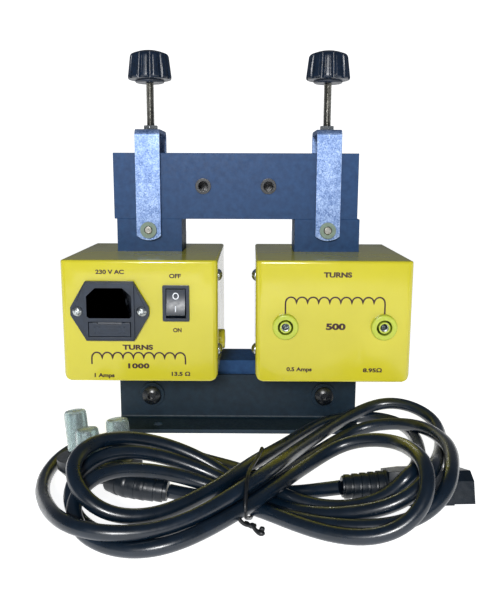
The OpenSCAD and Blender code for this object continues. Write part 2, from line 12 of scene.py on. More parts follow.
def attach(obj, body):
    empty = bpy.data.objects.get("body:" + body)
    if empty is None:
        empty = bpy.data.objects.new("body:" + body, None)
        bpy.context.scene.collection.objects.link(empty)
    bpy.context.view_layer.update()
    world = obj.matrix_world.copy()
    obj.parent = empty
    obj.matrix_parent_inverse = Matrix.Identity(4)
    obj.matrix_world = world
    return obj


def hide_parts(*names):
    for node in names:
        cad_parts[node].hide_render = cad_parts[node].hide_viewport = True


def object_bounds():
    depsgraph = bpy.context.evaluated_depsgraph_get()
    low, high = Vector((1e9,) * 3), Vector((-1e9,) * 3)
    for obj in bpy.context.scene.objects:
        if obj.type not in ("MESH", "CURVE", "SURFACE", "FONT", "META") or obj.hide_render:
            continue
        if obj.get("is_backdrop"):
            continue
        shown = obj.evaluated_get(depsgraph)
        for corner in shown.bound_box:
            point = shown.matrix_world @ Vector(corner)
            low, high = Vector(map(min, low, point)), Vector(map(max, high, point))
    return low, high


MM = 0.001
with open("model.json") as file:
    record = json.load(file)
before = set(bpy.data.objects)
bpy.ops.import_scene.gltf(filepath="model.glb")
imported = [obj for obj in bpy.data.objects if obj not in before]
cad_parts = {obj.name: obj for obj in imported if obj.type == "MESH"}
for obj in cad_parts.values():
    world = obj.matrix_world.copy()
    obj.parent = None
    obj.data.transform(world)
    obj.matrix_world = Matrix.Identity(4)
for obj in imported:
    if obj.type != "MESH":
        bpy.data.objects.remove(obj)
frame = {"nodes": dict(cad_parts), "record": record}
start_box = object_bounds()
record = frame["record"]
BODY = {n: b for b, ns in record["behaviour"]["bodies"].items() for n in ns}
SLOT = {s["node"]: s["material_slot"] for s in record["subparts"]}
scene = bpy.context.scene

# ---------------------------------------------------------------- camera

EYE = (7.7165, -449.428, 157.982)
cam_data = bpy.data.cameras.new("camera")
cam_data.lens = 42.0
cam_data.sensor_width = 36.0
cam_data.clip_start = 0.01
cam_data.clip_end = 50.0
cam = bpy.data.objects.new("camera", cam_data)
scene.collection.objects.link(cam)
cam.matrix_world = (
    Matrix.Translation(Vector(EYE) * MM)
    @ Matrix.Rotation(0.0063, 4, "Z")
    @ Matrix.Rotation(math.pi / 2 - 0.1793, 4, "X")
    @ Matrix.Rotation(0.0035, 4, "Z")
)
scene.camera = cam

# ---------------------------------------------------------------- helpers


def lin(*rgb):
    """Screen colour, 0 to 255, as a linear colour."""
    out = []
    for c in rgb:
        c = c / 255.0
        out.append(c / 12.92 if c <= 0.04045 else ((c + 0.055) / 1.055) ** 2.4)
    return tuple(out) + (1.0,)


def link(ob):
    scene.collection.objects.link(ob)
    return ob


def bake(ob):
    """Applies the modifiers of an object to its mesh."""
    bpy.context.view_layer.update()
    dg = bpy.context.evaluated_depsgraph_get()
    me = bpy.data.meshes.new_from_object(ob.evaluated_get(dg), depsgraph=dg)
    ob.modifiers.clear()
    old = ob.data
    ob.data = me
    if old.users == 0 and isinstance(old, bpy.types.Mesh):
        bpy.data.meshes.remove(old)
    return ob


def shade(ob, deg=35.0):
    me = ob.data
    for nm in ("custom_normal", "sharp_face"):
        if nm in me.attributes:
            me.attributes.remove(me.attributes[nm])
    bm = bmesh.new()
    bm.from_mesh(me)
    lim = math.radians(deg)
    for f in bm.faces:
        f.smooth = True
    for e in bm.edges:
        e.smooth = not (len(e.link_faces) == 2 and e.calc_face_angle(0.0) > lim)
    bm.to_mesh(me)
    bm.free()
    return ob


def mesh(name, verts, faces):
    me = bpy.data.meshes.new(name)
    me.from_pydata([(v[0] * MM, v[1] * MM, v[2] * MM) for v in verts], [], faces)
    me.validate()
    me.update()
    bm = bmesh.new()
    bm.from_mesh(me)
    bmesh.ops.recalc_face_normals(bm, faces=bm.faces)
    bm.to_mesh(me)
    bm.free()
    return link(bpy.data.objects.new(name, me))


def done(ob, mat, body, nodes=(), deg=35.0):
    """Gives a finished piece its material, its shading and its body, and hides the nodes that it stands for."""
    ob.data.materials.clear()
    ob.data.materials.append(mat)
    if ob.type == "MESH":
        for p in ob.data.polygons:
            p.material_index = 0
        shade(ob, deg)
    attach(ob, body)
    if nodes:
        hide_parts(*nodes)
    return ob


def join(name, obs):
    """Joins mesh objects into one."""
    bm = bmesh.new()
    for o in obs:
        bm.from_mesh(o.data)
    me = bpy.data.meshes.new(name)
    bm.to_mesh(me)
    bm.free()
    for o in obs:
        bpy.data.objects.remove(o)
    return link(bpy.data.objects.new(name, me))


def lathe(name, profile, at, axis="z", segs=40, turn=0.0):
    """Turned solid: profile is (radius, reach) from one end of the axis to the other."""
    verts, faces = [], []
    n = len(profile)
    for i in range(segs):
        a = 2 * math.pi * i / segs + turn
        c, s = math.cos(a), math.sin(a)
        for r, h in profile:
            p = {"z": (r * c, r * s, h), "f": (r * c, -h, r * s), "b": (r * c, h, r * s), "x": (h, r * c, r * s), "-x": (-h, r * c, r * s)}[axis]
            verts.append((p[0] + at[0], p[1] + at[1], p[2] + at[2]))
    for i in range(segs):
        j = (i + 1) % segs
        for k in range(n - 1):
            faces.append((i * n + k, j * n + k, j * n + k + 1, i * n + k + 1))
    ob = mesh(name, verts, faces)
    bm = bmesh.new()
    bm.from_mesh(ob.data)
    bmesh.ops.remove_doubles(bm, verts=bm.verts, dist=1e-7)
    bmesh.ops.dissolve_degenerate(bm, edges=bm.edges, dist=1e-8)
    bmesh.ops.recalc_face_normals(bm, faces=bm.faces)
    bm.to_mesh(ob.data)
    bm.free()
    return ob


def box(name, lo, hi):
    x0, y0, z0 = lo
    x1, y1, z1 = hi
    v = [(x0, y0, z0), (x1, y0, z0), (x1, y1, z0), (x0, y1, z0), (x0, y0, z1), (x1, y0, z1), (x1, y1, z1), (x0, y1, z1)]
    f = [(0, 3, 2, 1), (4, 5, 6, 7), (0, 1, 5, 4), (1, 2, 6, 5), (2, 3, 7, 6), (3, 0, 4, 7)]
    return mesh(name, v, f)


def cut(ob, tools, solver="EXACT"):
    """Takes the tools out of a mesh."""
    tool = join("tool", tools) if len(tools) > 1 else tools[0]
    m = ob.modifiers.new("cut", "BOOLEAN")
    m.operation = "DIFFERENCE"
    m.solver = solver
    m.object = tool
    if solver == "EXACT" and hasattr(m, "use_self"):
        m.use_self = True
    bake(ob)
    bpy.data.objects.remove(tool)
    return ob


def clean_copy(node, name):
    """A copy of a CAD node's mesh with its flat faces joined."""
    me = bpy.data.meshes.new(name)
    bm = bmesh.new()
    bm.from_mesh(frame["nodes"][node].data)
    bmesh.ops.remove_doubles(bm, verts=bm.verts, dist=4e-6)
    bmesh.ops.dissolve_degenerate(bm, edges=bm.edges, dist=1e-6)
    bmesh.ops.dissolve_limit(bm, angle_limit=math.radians(0.6), verts=bm.verts, edges=bm.edges)
    bm.to_mesh(me)
    bm.free()
    ob = link(bpy.data.objects.new(name, me))
    shade(ob)
    return ob


def bevel(ob, width, segs=2, deg=32.0):
    m = ob.modifiers.new("bevel", "BEVEL")
    m.width = width * MM
    m.segments = segs
    m.limit_method = "ANGLE"
    m.angle_limit = math.radians(deg)
    m.use_clamp_overlap = True
    m.miter_outer = "MITER_ARC"
    return bake(ob)


def soften(node, width, mat, segs=2, deg=32.0, tools=None, also=(), shade_deg=38.0):
    """A copy of a CAD node with its edges rounded, standing for it."""
    ob = clean_copy(node, node + "_made")
    if tools:
        cut(ob, tools)
    bevel(ob, width, segs, deg)
    done(ob, mat, BODY[node], (node,) + tuple(also), shade_deg)
    m = ob.modifiers.new("flat", "WEIGHTED_NORMAL")
    m.keep_sharp = True
    m.weight = 60
    return bake(ob)


def plus(at, axis, reach, half, depth, tip=0.6):
    """Cross-shaped cutter for a screw's recess. axis: 'f' towards -Y, 'b' +Y, 'x' +X, '-x' -X."""
    obs = []
    for k in range(2):
        w, l = half * 0.26, half
        v = []
        for d, q in ((0.6, 1.0), (-depth, tip)):
            for a, b in ((-1, -1), (1, -1), (1, 1), (-1, 1)):
                u, s = (a * l * q, b * w * q) if k == 0 else (a * w * q, b * l * q)
                h = reach + d
                p = {"f": (u, -h, s), "b": (u, h, s), "x": (h, u, s), "-x": (-h, u, s)}[axis]
                v.append((at[0] + p[0], at[1] + p[1], at[2] + p[2]))
        obs.append(mesh("cross", v, [(0, 1, 2, 3), (7, 6, 5, 4), (0, 4, 5, 1), (1, 5, 6, 2), (2, 6, 7, 3), (3, 7, 4, 0)]))
    return obs


# ---------------------------------------------------------------- materials


def mat_new(name):
    m = bpy.data.materials.new(name)
    m.use_nodes = True
    nt = m.node_tree
    b = nt.nodes["Principled BSDF"]
    tc = nt.nodes.new("ShaderNodeTexCoord")
    return m, nt, b, tc


def noise(nt, tc, scale, detail=4.0, rough=0.55, stretch=None):
    n = nt.nodes.new("ShaderNodeTexNoise")
    n.inputs["Scale"].default_value = scale
    n.inputs["Detail"].default_value = detail
    n.inputs["Roughness"].default_value = rough
    if stretch:
        mp = nt.nodes.new("ShaderNodeMapping")
        mp.inputs["Scale"].default_value = stretch
        nt.links.new(tc.outputs["Object"], mp.inputs["Vector"])
        nt.links.new(mp.outputs["Vector"], n.inputs["Vector"])
    else:
        nt.links.new(tc.outputs["Object"], n.inputs["Vector"])
    return n


def ramp(nt, src, stops, out="Fac"):
    r = nt.nodes.new("ShaderNodeValToRGB")
    el = r.color_ramp.elements
    el[0].position, el[0].color = stops[0]
    el[1].position, el[1].color = stops[1]
    for p, c in stops[2:]:
        e = el.new(p)
        e.color = c
    nt.links.new(src.outputs[out], r.inputs["Fac"])
    return r


def spread(nt, src, lo, hi, out="Fac", a=0.3, b=0.7):
    m = nt.nodes.new("ShaderNodeMapRange")
    m.inputs["From Min"].default_value = a
    m.inputs["From Max"].default_value = b
    m.inputs["To Min"].default_value = lo
    m.inputs["To Max"].default_value = hi
    nt.links.new(src.outputs[out], m.inputs["Value"])
    return m


def surface(name, dark, light, rough=(0.3, 0.4), metallic=0.0, scale=60.0, detail=5.0, bump=0.0, bump_scale=900.0,
            coat=0.0, coat_rough=0.1, spec=0.5, stretch=None, transmission=0.0, ior=1.5, alpha=1.0, lam=0.0, contrast=(0.3, 0.7)):
    m, nt, b, tc = mat_new(name)
    n1 = noise(nt, tc, scale, detail, 0.6, stretch)
    col = ramp(nt, n1, [(contrast[0], dark), (contrast[1], light)])
    nt.links.new(col.outputs["Color"], b.inputs["Base Color"])
    n2 = noise(nt, tc, scale * 2.7, 3.0, 0.5, stretch)
    r = spread(nt, n2, rough[0], rough[1])
    nt.links.new(r.outputs["Result"], b.inputs["Roughness"])
    b.inputs["Metallic"].default_value = metallic
    b.inputs["Specular IOR Level"].default_value = spec
    b.inputs["Coat Weight"].default_value = coat
    b.inputs["Coat Roughness"].default_value = coat_rough
    b.inputs["Transmission Weight"].default_value = transmission
    b.inputs["IOR"].default_value = ior
    b.inputs["Alpha"].default_value = alpha
    if bump:
        n3 = noise(nt, tc, bump_scale, 3.0, 0.6)
        bp = nt.nodes.new("ShaderNodeBump")
        bp.inputs["Strength"].default_value = bump
        bp.inputs["Distance"].default_value = 0.0001
        nt.links.new(n3.outputs["Fac"], bp.inputs["Height"])
        nt.links.new(bp.outputs["Normal"], b.inputs["Normal"])
    return m


YELLOW = surface("yellow_plastic", lin(196, 187, 40), lin(205, 196, 47), (0.16, 0.24), scale=22, bump=0.06, bump_scale=420,
                 coat=0.35, coat_rough=0.08, spec=0.5)
CORE = surface("core_paint", lin(14, 52, 94), lin(28, 68, 114), (0.36, 0.5), scale=260, detail=8, bump=0.3, bump_scale=1300, spec=0.25)
BRACKET = surface("bracket_paint", lin(12, 30, 44), lin(20, 42, 58), (0.38, 0.52), scale=240, detail=8, bump=0.3, bump_scale=1500, spec=0.3)
BLACK_STEEL = surface("black_steel", lin(8, 11, 16), lin(20, 26, 34), (0.22, 0.36), scale=400, bump=0.2, spec=0.6)
DARK_STEEL = surface("dark_steel", lin(112, 112, 104), lin(158, 156, 150), (0.24, 0.38), metallic=1.0, scale=300, bump=0.2)
NICKEL = surface("nickel", lin(176, 182, 182), lin(214, 218, 218), (0.2, 0.34), metallic=1.0, scale=300, bump=0.12)
COPPER = surface("copper", lin(150, 74, 36), lin(196, 112, 62), (0.3, 0.42), metallic=1.0, scale=260, bump=0.3, stretch=(1, 1, 6))
NYLON = surface("nylon", lin(132, 156, 136), lin(160, 182, 164), (0.3, 0.42), scale=160, bump=0.1, alpha=1.0, transmission=0.45, ior=1.5)
BOBBIN = surface("bobbin_nylon", lin(206, 204, 190), lin(222, 220, 208), (0.35, 0.5), scale=90, bump=0.1)
BLACK_PLASTIC = surface("black_plastic", lin(18, 30, 44), lin(28, 42, 60), (0.3, 0.42), scale=180, bump=0.22, bump_scale=1400, spec=0.5)
ROCKER = surface("rocker_plastic", lin(22, 32, 44), lin(30, 42, 56), (0.3, 0.4), scale=160, bump=0.1, spec=0.45)
KNOB = surface("knob_plastic", lin(6, 20, 36), lin(14, 32, 54), (0.26, 0.38), scale=220, bump=0.25, bump_scale=1500, spec=0.55, coat=0.1, coat_rough=0.25)
SOCKET = surface("socket_plastic", lin(176, 190, 56), lin(188, 202, 70), (0.22, 0.32), scale=120, bump=0.05, spec=0.5)
PVC = surface("lead_pvc", lin(4, 18, 30), lin(10, 28, 44), (0.26, 0.36), scale=90, bump=0.15, bump_scale=700, spec=0.6, coat=0.2, coat_rough=0.18)
MOULD = surface("lead_moulding", lin(4, 15, 24), lin(9, 23, 35), (0.3, 0.42), scale=140, bump=0.2, bump_scale=1100, spec=0.55)
TIE = surface("tie_plastic", lin(8, 10, 13), lin(18, 22, 27), (0.3, 0.45), scale=300, bump=0.2)
INK = surface("ink", lin(44, 12, 8), lin(58, 20, 14), (0.45, 0.6), scale=500, bump=0.1)
INK_DARK = surface("ink_dark", lin(20, 14, 10), lin(34, 24, 18), (0.45, 0.6), scale=500, bump=0.1)
WHITE_INK = surface("white_ink", lin(226, 232, 238), lin(240, 244, 248), (0.45, 0.6), scale=500, bump=0.1)
RELIEF = surface("relief_mark", lin(30, 42, 58), lin(42, 56, 74), (0.3, 0.4), scale=300, bump=0.1)
GLASS = surface("fuse_glass", lin(210, 226, 226), lin(226, 238, 238), (0.04, 0.1), scale=120, transmission=0.9, ior=1.48)
SLEEVE = surface("clear_sleeve", lin(196, 214, 214), lin(222, 234, 234), (0.12, 0.22), scale=70, bump=0.05, bump_scale=160, transmission=0.8, ior=1.2, spec=0.5)


def make_zinc():
    m, nt, b, tc = mat_new("zinc")
    wob = noise(nt, tc, 420.0, 4.0)
    mix = nt.nodes.new("ShaderNodeMixRGB")
    mix.blend_type = "ADD"
    mix.inputs["Fac"].default_value = 0.0012
    nt.links.new(tc.outputs["Object"], mix.inputs["Color1"])
    nt.links.new(wob.outputs["Color"], mix.inputs["Color2"])
    v = nt.nodes.new("ShaderNodeTexVoronoi")
    v.inputs["Scale"].default_value = 1500.0
    nt.links.new(mix.outputs["Color"], v.inputs["Vector"])
    broad = noise(nt, tc, 150.0, 5.0, 0.6)
    both = nt.nodes.new("ShaderNodeMixRGB")
    both.inputs["Fac"].default_value = 0.55
    nt.links.new(v.outputs["Color"], both.inputs["Color1"])
    nt.links.new(broad.outputs["Fac"], both.inputs["Color2"])
    col = ramp(nt, both, [(0.28, lin(74, 100, 146)), (0.72, lin(160, 180, 212)), (0.5, lin(116, 141, 186))], "Color")
    nt.links.new(col.outputs["Color"], b.inputs["Base Color"])
    r = spread(nt, v, 0.34, 0.5, "Color", 0.0, 1.0)
    nt.links.new(r.outputs["Result"], b.inputs["Roughness"])
    b.inputs["Metallic"].default_value = 0.5
    n3 = noise(nt, tc, 1100.0, 4.0)
    bp = nt.nodes.new("ShaderNodeBump")
    bp.inputs["Strength"].default_value = 0.2
    bp.inputs["Distance"].default_value = 0.0001
    nt.links.new(n3.outputs["Fac"], bp.inputs["Height"])
    nt.links.new(bp.outputs["Normal"], b.inputs["Normal"])
    return m


ZINC = make_zinc()

# ---------------------------------------------------------------- mains lead: cord first

CORD_R = 3.5
TAIL_PLUG = [(-31, -132, 6), (-24, -133, 5), (-16, -134, 4.3), (-8, -135, 4), (0, -136, 3.8), (8, -137, 3.6)]
TAIL_CONNECTOR = [(18, -129, 3.8), (26, -131.5, 4.8), (34, -134.2, 7), (42, -136.2, 9.2), (51, -137.3, 11)]
TIE_AT = (10.0, -135.5, 13.8)

# Four loops of a figure of eight, from the plug's relief to the connector's.
RIGHT_1 = [
    (14, -145, 3.5), (24, -154, 3.5), (34, -162, 3.5), (45, -168, 3.5), (57, -173, 5), (68, -175, 7.5), (78, -173, 12.5),
    (85, -167, 17.5), (89, -157, 20.5), (91, -145, 21), (93, -133, 20.5), (93, -122, 17), (93, -110, 15), (92, -98, 13.5),
    (91, -86, 12), (87, -76, 10.5), (79, -71, 10), (69, -74, 10), (60, -82, 11), (53, -91, 12), (46, -101, 12.5), (40, -111, 12.5),
]
LEFT_1 = [
    (33, -121, 13), (26, -131, 12.5), (19, -141, 12.5), (12, -150, 11.5), (4, -159, 10.5), (-5, -167, 9), (-14, -173, 7),
    (-24, -177, 4.5), (-35, -180, 3.5), (-47, -180, 3.5), (-58, -176, 3.5), (-68, -169, 3.5), (-75, -160, 4.5), (-80, -151, 7.5),
    (-79, -143, 13), (-71, -138, 17), (-63, -133, 18), (-53, -128, 16), (-42, -124, 13), (-31, -121, 10), (-20, -122, 7), (-9, -126, 4.5),
]
RIGHT_2 = [
    (1, -133, 3.5), (10, -140, 3.5), (19, -148, 3.5), (29, -154, 3.5), (40, -159, 3.5), (51, -161, 3.5), (63, -161, 4),
    (75, -162, 5.5), (84, -164, 10.5), (92, -165, 17.5), (97, -158, 21), (101, -147, 21), (104, -136, 19.5), (107, -124, 18),
    (109, -113, 16), (111, -101, 14.5), (111, -89, 13), (111, -77, 12), (110, -65, 11), (106, -54, 10), (99, -46, 8.5),
    (89, -44, 8.5), (79, -49, 9), (71, -57, 9.5), (64, -66, 10.5), (57, -76, 11), (50, -86, 11.5), (44, -96, 11.5), (37, -106, 12),
]
LEFT_2 = [
    (30, -116, 12), (23, -125, 12), (16, -135, 11.5), (9, -145, 11), (0, -153, 9.5), (-9, -160, 7.5), (-19, -166, 5), (-29, -171, 3.5),
    (-41, -174, 3.5), (-52, -172, 3.5), (-62, -167, 3.5), (-71, -159, 3.5), (-79, -149, 5), (-85, -140, 8), (-83, -132, 13.5),
    (-76, -127, 18), (-69, -121, 19.5), (-59, -115, 19.5), (-49, -110, 17), (-38, -106, 13), (-27, -106, 9.5), (-16, -109, 6.5), (-6, -115, 4.5),
]
RIGHT_3 = [
    (3, -123, 3.5), (10, -132, 3.5), (19, -140, 3.5), (28, -147, 3.5), (39, -151, 3.5), (49, -151, 4), (57, -150, 5.5), (67, -154, 8.5),
    (76, -157, 13.5), (85, -155, 18.5), (91, -146, 21), (96, -135, 20.5), (100, -124, 17), (104, -113, 15), (108, -102, 12.5),
    (111, -91, 10.5), (115, -79, 9), (118, -68, 7.5), (120, -56, 6.5), (123, -44, 6), (124, -33, 5.5), (123, -21, 6), (119, -11, 7),
    (110, -6, 9), (100, -9, 10.5), (91, -17, 11.5), (83, -26, 12.5), (76, -35, 13.5), (69, -45, 14), (62, -55, 14.5), (56, -65, 15),
    (50, -75, 15.5), (44, -86, 16), (38, -96, 16),
]
LEFT_3 = [
    (32, -107, 16.5), (27, -117, 17), (21, -128, 17), (14, -138, 17), (7, -147, 16), (-2, -155, 14), (-11, -162, 11), (-20, -168, 9),
    (-29, -173, 7.5), (-38, -177, 8), (-47, -180, 8.5), (-58, -178, 9), (-68, -172, 8.5), (-76, -164, 8), (-82, -154, 6.5),
    (-88, -143, 5), (-93, -132, 4.5), (-96, -121, 3.5), (-98, -109, 3.5), (-98, -97, 3.5), (-96, -85, 3.5), (-93, -74, 3.5),
    (-87, -64, 3.5), (-77, -58, 3.5), (-66, -57, 3.5), (-55, -61, 3.5), (-45, -67, 3.5), (-36, -74, 3.5), (-26, -82, 3.5),
    (-17, -89, 3.5), (-8, -98, 3.5),
]
RIGHT_4 = [
    (0, -106, 3.5), (8, -115, 3.5), (15, -125, 3.5), (24, -133, 3.5), (33, -140, 3.5), (44, -145, 4.5), (55, -148, 7), (65, -152, 11),
    (74, -152, 16.5), (81, -146, 20), (85, -136, 20.5), (89, -125, 16), (93, -113, 12), (96, -102, 10), (99, -90, 8), (102, -79, 6.5),
    (104, -67, 5), (106, -55, 4), (106, -43, 3.5), (104, -32, 3.5), (100, -22, 3.5), (91, -19, 4.5), (81, -23, 6), (72, -29, 8),
    (64, -38, 10), (56, -46, 11.5), (48, -56, 12.5), (42, -66, 13), (36, -76, 13.5), (30, -87, 14), (24, -97, 14),
]
LEFT_4 = [
    (18, -107, 14), (11, -117, 13.5), (4, -127, 12.5), (-4, -136, 11.5), (-13, -144, 10.5), (-21, -152, 10), (-30, -160, 9.5),
    (-40, -166, 10), (-51, -169, 11.5), (-62, -166, 13.5), (-70, -159, 17.5), (-76, -150, 21), (-78, -139, 24), (-75, -128, 26),
    (-68, -119, 27), (-58, -112, 25.5), (-48, -107, 22.5), (-38, -102, 18.5), (-28, -100, 14), (-17, -99, 9.5), (-6, -105, 6.5),
    (3, -114, 4.5),
]
ROUTE = TAIL_PLUG[:-1] + RIGHT_1 + LEFT_1 + RIGHT_2 + LEFT_2 + RIGHT_3 + LEFT_3 + RIGHT_4 + LEFT_4 + TAIL_CONNECTOR

PLUG_AT = Vector((-71.3, -108.5, 15.6))
PLUG_M = (
    Matrix.Translation(PLUG_AT) @ Matrix.Rotation(math.radians(-6), 4, "Y") @ Matrix.Rotation(math.radians(-6), 4, "X")
    @ Matrix.Rotation(math.radians(-40), 4, "Z")
)
CONN_AT = Vector((75.5, -136, 11.4))
CONN_M = Matrix.Translation(CONN_AT) @ Matrix.Rotation(math.radians(3), 4, "Z") @ Matrix.Rotation(math.radians(-18), 4, "X")
PLUG_RELIEF = [(-60, -124, 9.4), (-52, -128.6, 8.4), (-43, -130.9, 7.3), (-33, -131.9, 6.2)]


def resample(p, step):
    d = np.r_[0, np.cumsum(np.linalg.norm(np.diff(p, axis=0), axis=1))]
    n = max(2, int(round(d[-1] / step)) + 1)
    s = np.linspace(0, d[-1], n)
    return np.stack([np.interp(s, d, p[:, k]) for k in range(3)], 1)


def second(n):
    m = np.zeros((n - 2, n))
    for i in range(n - 2):
        m[i, i], m[i, i + 1], m[i, i + 2] = 1, -2, 1
    return m


def faired(p, k, pin=3):
    n = len(p)
    b = second(n)
    w = np.ones(n)
    w[:pin] = w[-pin:] = 1e4
    return np.linalg.solve(np.diag(w) + k * b.T @ b, w[:, None] * p)


def settle_cord(route, step=4.0):
    """Sinks the cord until it rests on the floor, on itself and on its fittings: first along its lines of sight, then freely."""
    eye = np.array(EYE)
    h = resample(faired(resample(np.array(route, float), step), 14.0), step)
    n = len(h)
    ray = h - eye
    s = np.linalg.norm(ray, axis=1)
    u = ray / s[:, None]
    b = second(n)
    b = b.T @ b
    bend = sum(np.diag(u[:, k]) @ b @ np.diag(u[:, k]) for k in range(3))
    w = np.ones(n)
    w[:4] = w[-4:] = 1e3
    free = np.ones(n)
    free[:4] = free[-4:] = 0
    s = np.linalg.solve(np.diag(w) + 60 * bend, w * s)
    stiff = np.linalg.inv(np.diag(w) + 25 * bend)
    low = np.where(free > 0, (CORD_R - eye[2]) / u[:, 2], 1e9)
    gap = 2 * CORD_R + 0.1
    iu = np.triu_indices(n, 6)
    pm, cm = np.array(PLUG_M.inverted()), np.array(CONN_M.inverted())
    rl = [np.array(q, float) for q in PLUG_RELIEF]
    caps = [
        (rl[0], rl[1], 7.0), (rl[1], rl[2], 6.6), (rl[2], rl[3], 5.7),
        (np.array(CONN_M @ Vector((-23, 0, 0))), np.array(CONN_M @ Vector((-2, 0, 0))), 6.6),
    ]

    def inside(p):
        """Points too near the plug, the connector, their reliefs or the bracket."""
        q = p @ pm[:3, :3].T + pm[:3, 3]
        t = np.clip((q[:, 0] + 3) / 14.0, 0, 1)
        m = (np.hypot(q[:, 0] + 3 - 14 * t, q[:, 1]) < 18.5 - 2 * t + 3.4) & (q[:, 2] < 3.4 - 2 * t) & (q[:, 2] > -17)
        q = p @ cm[:3, :3].T + cm[:3, 3]
        m |= np.linalg.norm(np.maximum(np.abs(q - [16.5, 0, 0]) - [19.5, 12.5, 7.8], 0), axis=1) < 3.3
        for e0, e1, r in caps:
            e = e1 - e0
            t = np.clip(((p - e0) @ e) / (e @ e), 0, 1)
            k = np.linalg.norm(p - (e0 + t[:, None] * e), axis=1) < r + CORD_R
            k[:10] = k[-10:] = False
            m |= k
        ax = np.abs(p[:, 0])
        m |= (ax < 79.2) & (p[:, 1] > -43.0) & (p[:, 2] < 6.2)
        m |= (ax < 79.2) & (p[:, 1] > -21.3) & (p[:, 2] < 35)
        m |= (np.abs(ax - 55) < 10) & (p[:, 1] > -27.2) & (np.abs(p[:, 2] - 18) < 10)
        return m & (free > 0)

    def way_out(p):
        """How far each point has to come towards the eye to be clear."""
        m = inside(p)
        far = np.zeros(n)
        for k in range(1, 13):
            if not m.any():
                break
            far[m] = 1.5 * k
            m = m & inside(p - 1.5 * k * u)
        return far

    # along the lines of sight
    steps = 600
    for it in range(steps):
        s = s + 0.15 * (1 - it / steps) ** 1.5 * free
        p = eye + u * s[:, None]
        if it % 8 == 0:
            d = p[iu[0]] - p[iu[1]]
            al = (d * u[iu[0]]).sum(1)
            c = np.where(((d * d).sum(1) - al * al < (gap + 0.5) ** 2) & (np.abs(al) < 60))[0]
            ci, cj = iu[0][c], iu[1][c]
        d = p[ci] - p[cj]
        al = (d * 0.5 * (u[ci] + u[cj])).sum(1)
        over = np.maximum(np.sqrt(np.maximum(gap * gap - (d * d).sum(1) + al * al, 0)) - np.abs(al), 0)
        acc, cnt = np.zeros(n), np.zeros(n)
        mv = np.where(al >= 0, 0.5, -0.5) * over
        np.add.at(acc, ci, mv)
        np.add.at(acc, cj, -mv)
        np.add.at(cnt, ci, over > 0)
        np.add.at(cnt, cj, over > 0)
        s = np.minimum(s + acc / np.sqrt(np.maximum(cnt, 1)) * free, low)
        s = s - np.minimum(0.5 * way_out(eye + u * s[:, None]), 2.0)
        s = np.minimum(stiff @ (w * s), low)
    p = faired(eye + u * s[:, None], 6.0)

    # freely
    home = p.copy()
    w3 = np.ones(n)
    w3[:4] = w3[-4:] = 1e3
    soft = np.linalg.inv(np.diag(w3) + 6.0 * b)
    steps = 320
    for it in range(steps):
        p = p.copy()
        p[:, 2] -= 0.03 * (1 - it / steps) * free
        d = p - home
        p -= 0.03 * (d - (d * u).sum(1)[:, None] * u) * free[:, None]
        # no bend tighter than the cord takes
        for _ in range(3):
            e = np.diff(p, axis=0)
            le = np.linalg.norm(e, axis=1)
            e /= le[:, None]
            turn = np.arccos(np.clip((e[1:] * e[:-1]).sum(1), -1, 1)) / (0.5 * (le[1:] + le[:-1]))
            t = np.clip((turn - 1 / 26.0) * 40.0, 0, 1)
            t = np.r_[0, t, 0]
            t = np.maximum.reduce([t, np.r_[t[1:], 0], np.r_[0, t[:-1]], 0.6 * np.r_[t[2:], 0, 0], 0.6 * np.r_[0, 0, t[:-2]]])
            lap = np.zeros_like(p)
            lap[1:-1] = 0.5 * (p[:-2] + p[2:]) - p[1:-1]
            p += 0.5 * (t * free)[:, None] * lap
        if it % 6 == 0:
            d = p[iu[0]] - p[iu[1]]
            c = np.where((d * d).sum(1) < (gap + 2.5) ** 2)[0]
            ci, cj = iu[0][c], iu[1][c]
        for _ in range(2):
            d = p[ci] - p[cj]
            r = np.sqrt((d * d).sum(1)) + 1e-6
            over = np.maximum(gap - r, 0)
            mv = (0.5 * over / r)[:, None] * d
            acc, cnt = np.zeros_like(p), np.zeros(n)
            np.add.at(acc, ci, mv)
            np.add.at(acc, cj, -mv)
            np.add.at(cnt, ci, over > 0)
            np.add.at(cnt, cj, over > 0)
            p = p + acc / np.sqrt(np.maximum(cnt, 1))[:, None] * free[:, None]
        if it < steps - 12:
            p -= np.minimum(0.4 * way_out(p), 0.8)[:, None] * u
        p = home + soft @ (w3[:, None] * (p - home))
        p[:, 2] = np.maximum(p[:, 2], CORD_R)
    return p


cord_line = settle_cord(ROUTE)
fine = faired(resample(cord_line, 2.4), 0.6)
fine[:, 2] = np.maximum(fine[:, 2], CORD_R)

cu = bpy.data.curves.new("lead_cord", "CURVE")
cu.dimensions = "3D"
sp = cu.splines.new("POLY")
sp.points.add(len(fine) - 1)
for i, q in enumerate(fine):
    sp.points[i].co = (q[0] * MM, q[1] * MM, q[2] * MM, 1)
sp.use_smooth = True
cu.bevel_depth = CORD_R * MM
cu.bevel_resolution = 5
cu.use_fill_caps = True
cu.twist_smooth = 8
cord = link(bpy.data.objects.new("lead_cord", cu))
cu.materials.append(PVC)
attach(cord, "root")
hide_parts("lead_bundle", "lead_tail_plug", "lead_tail_connector")


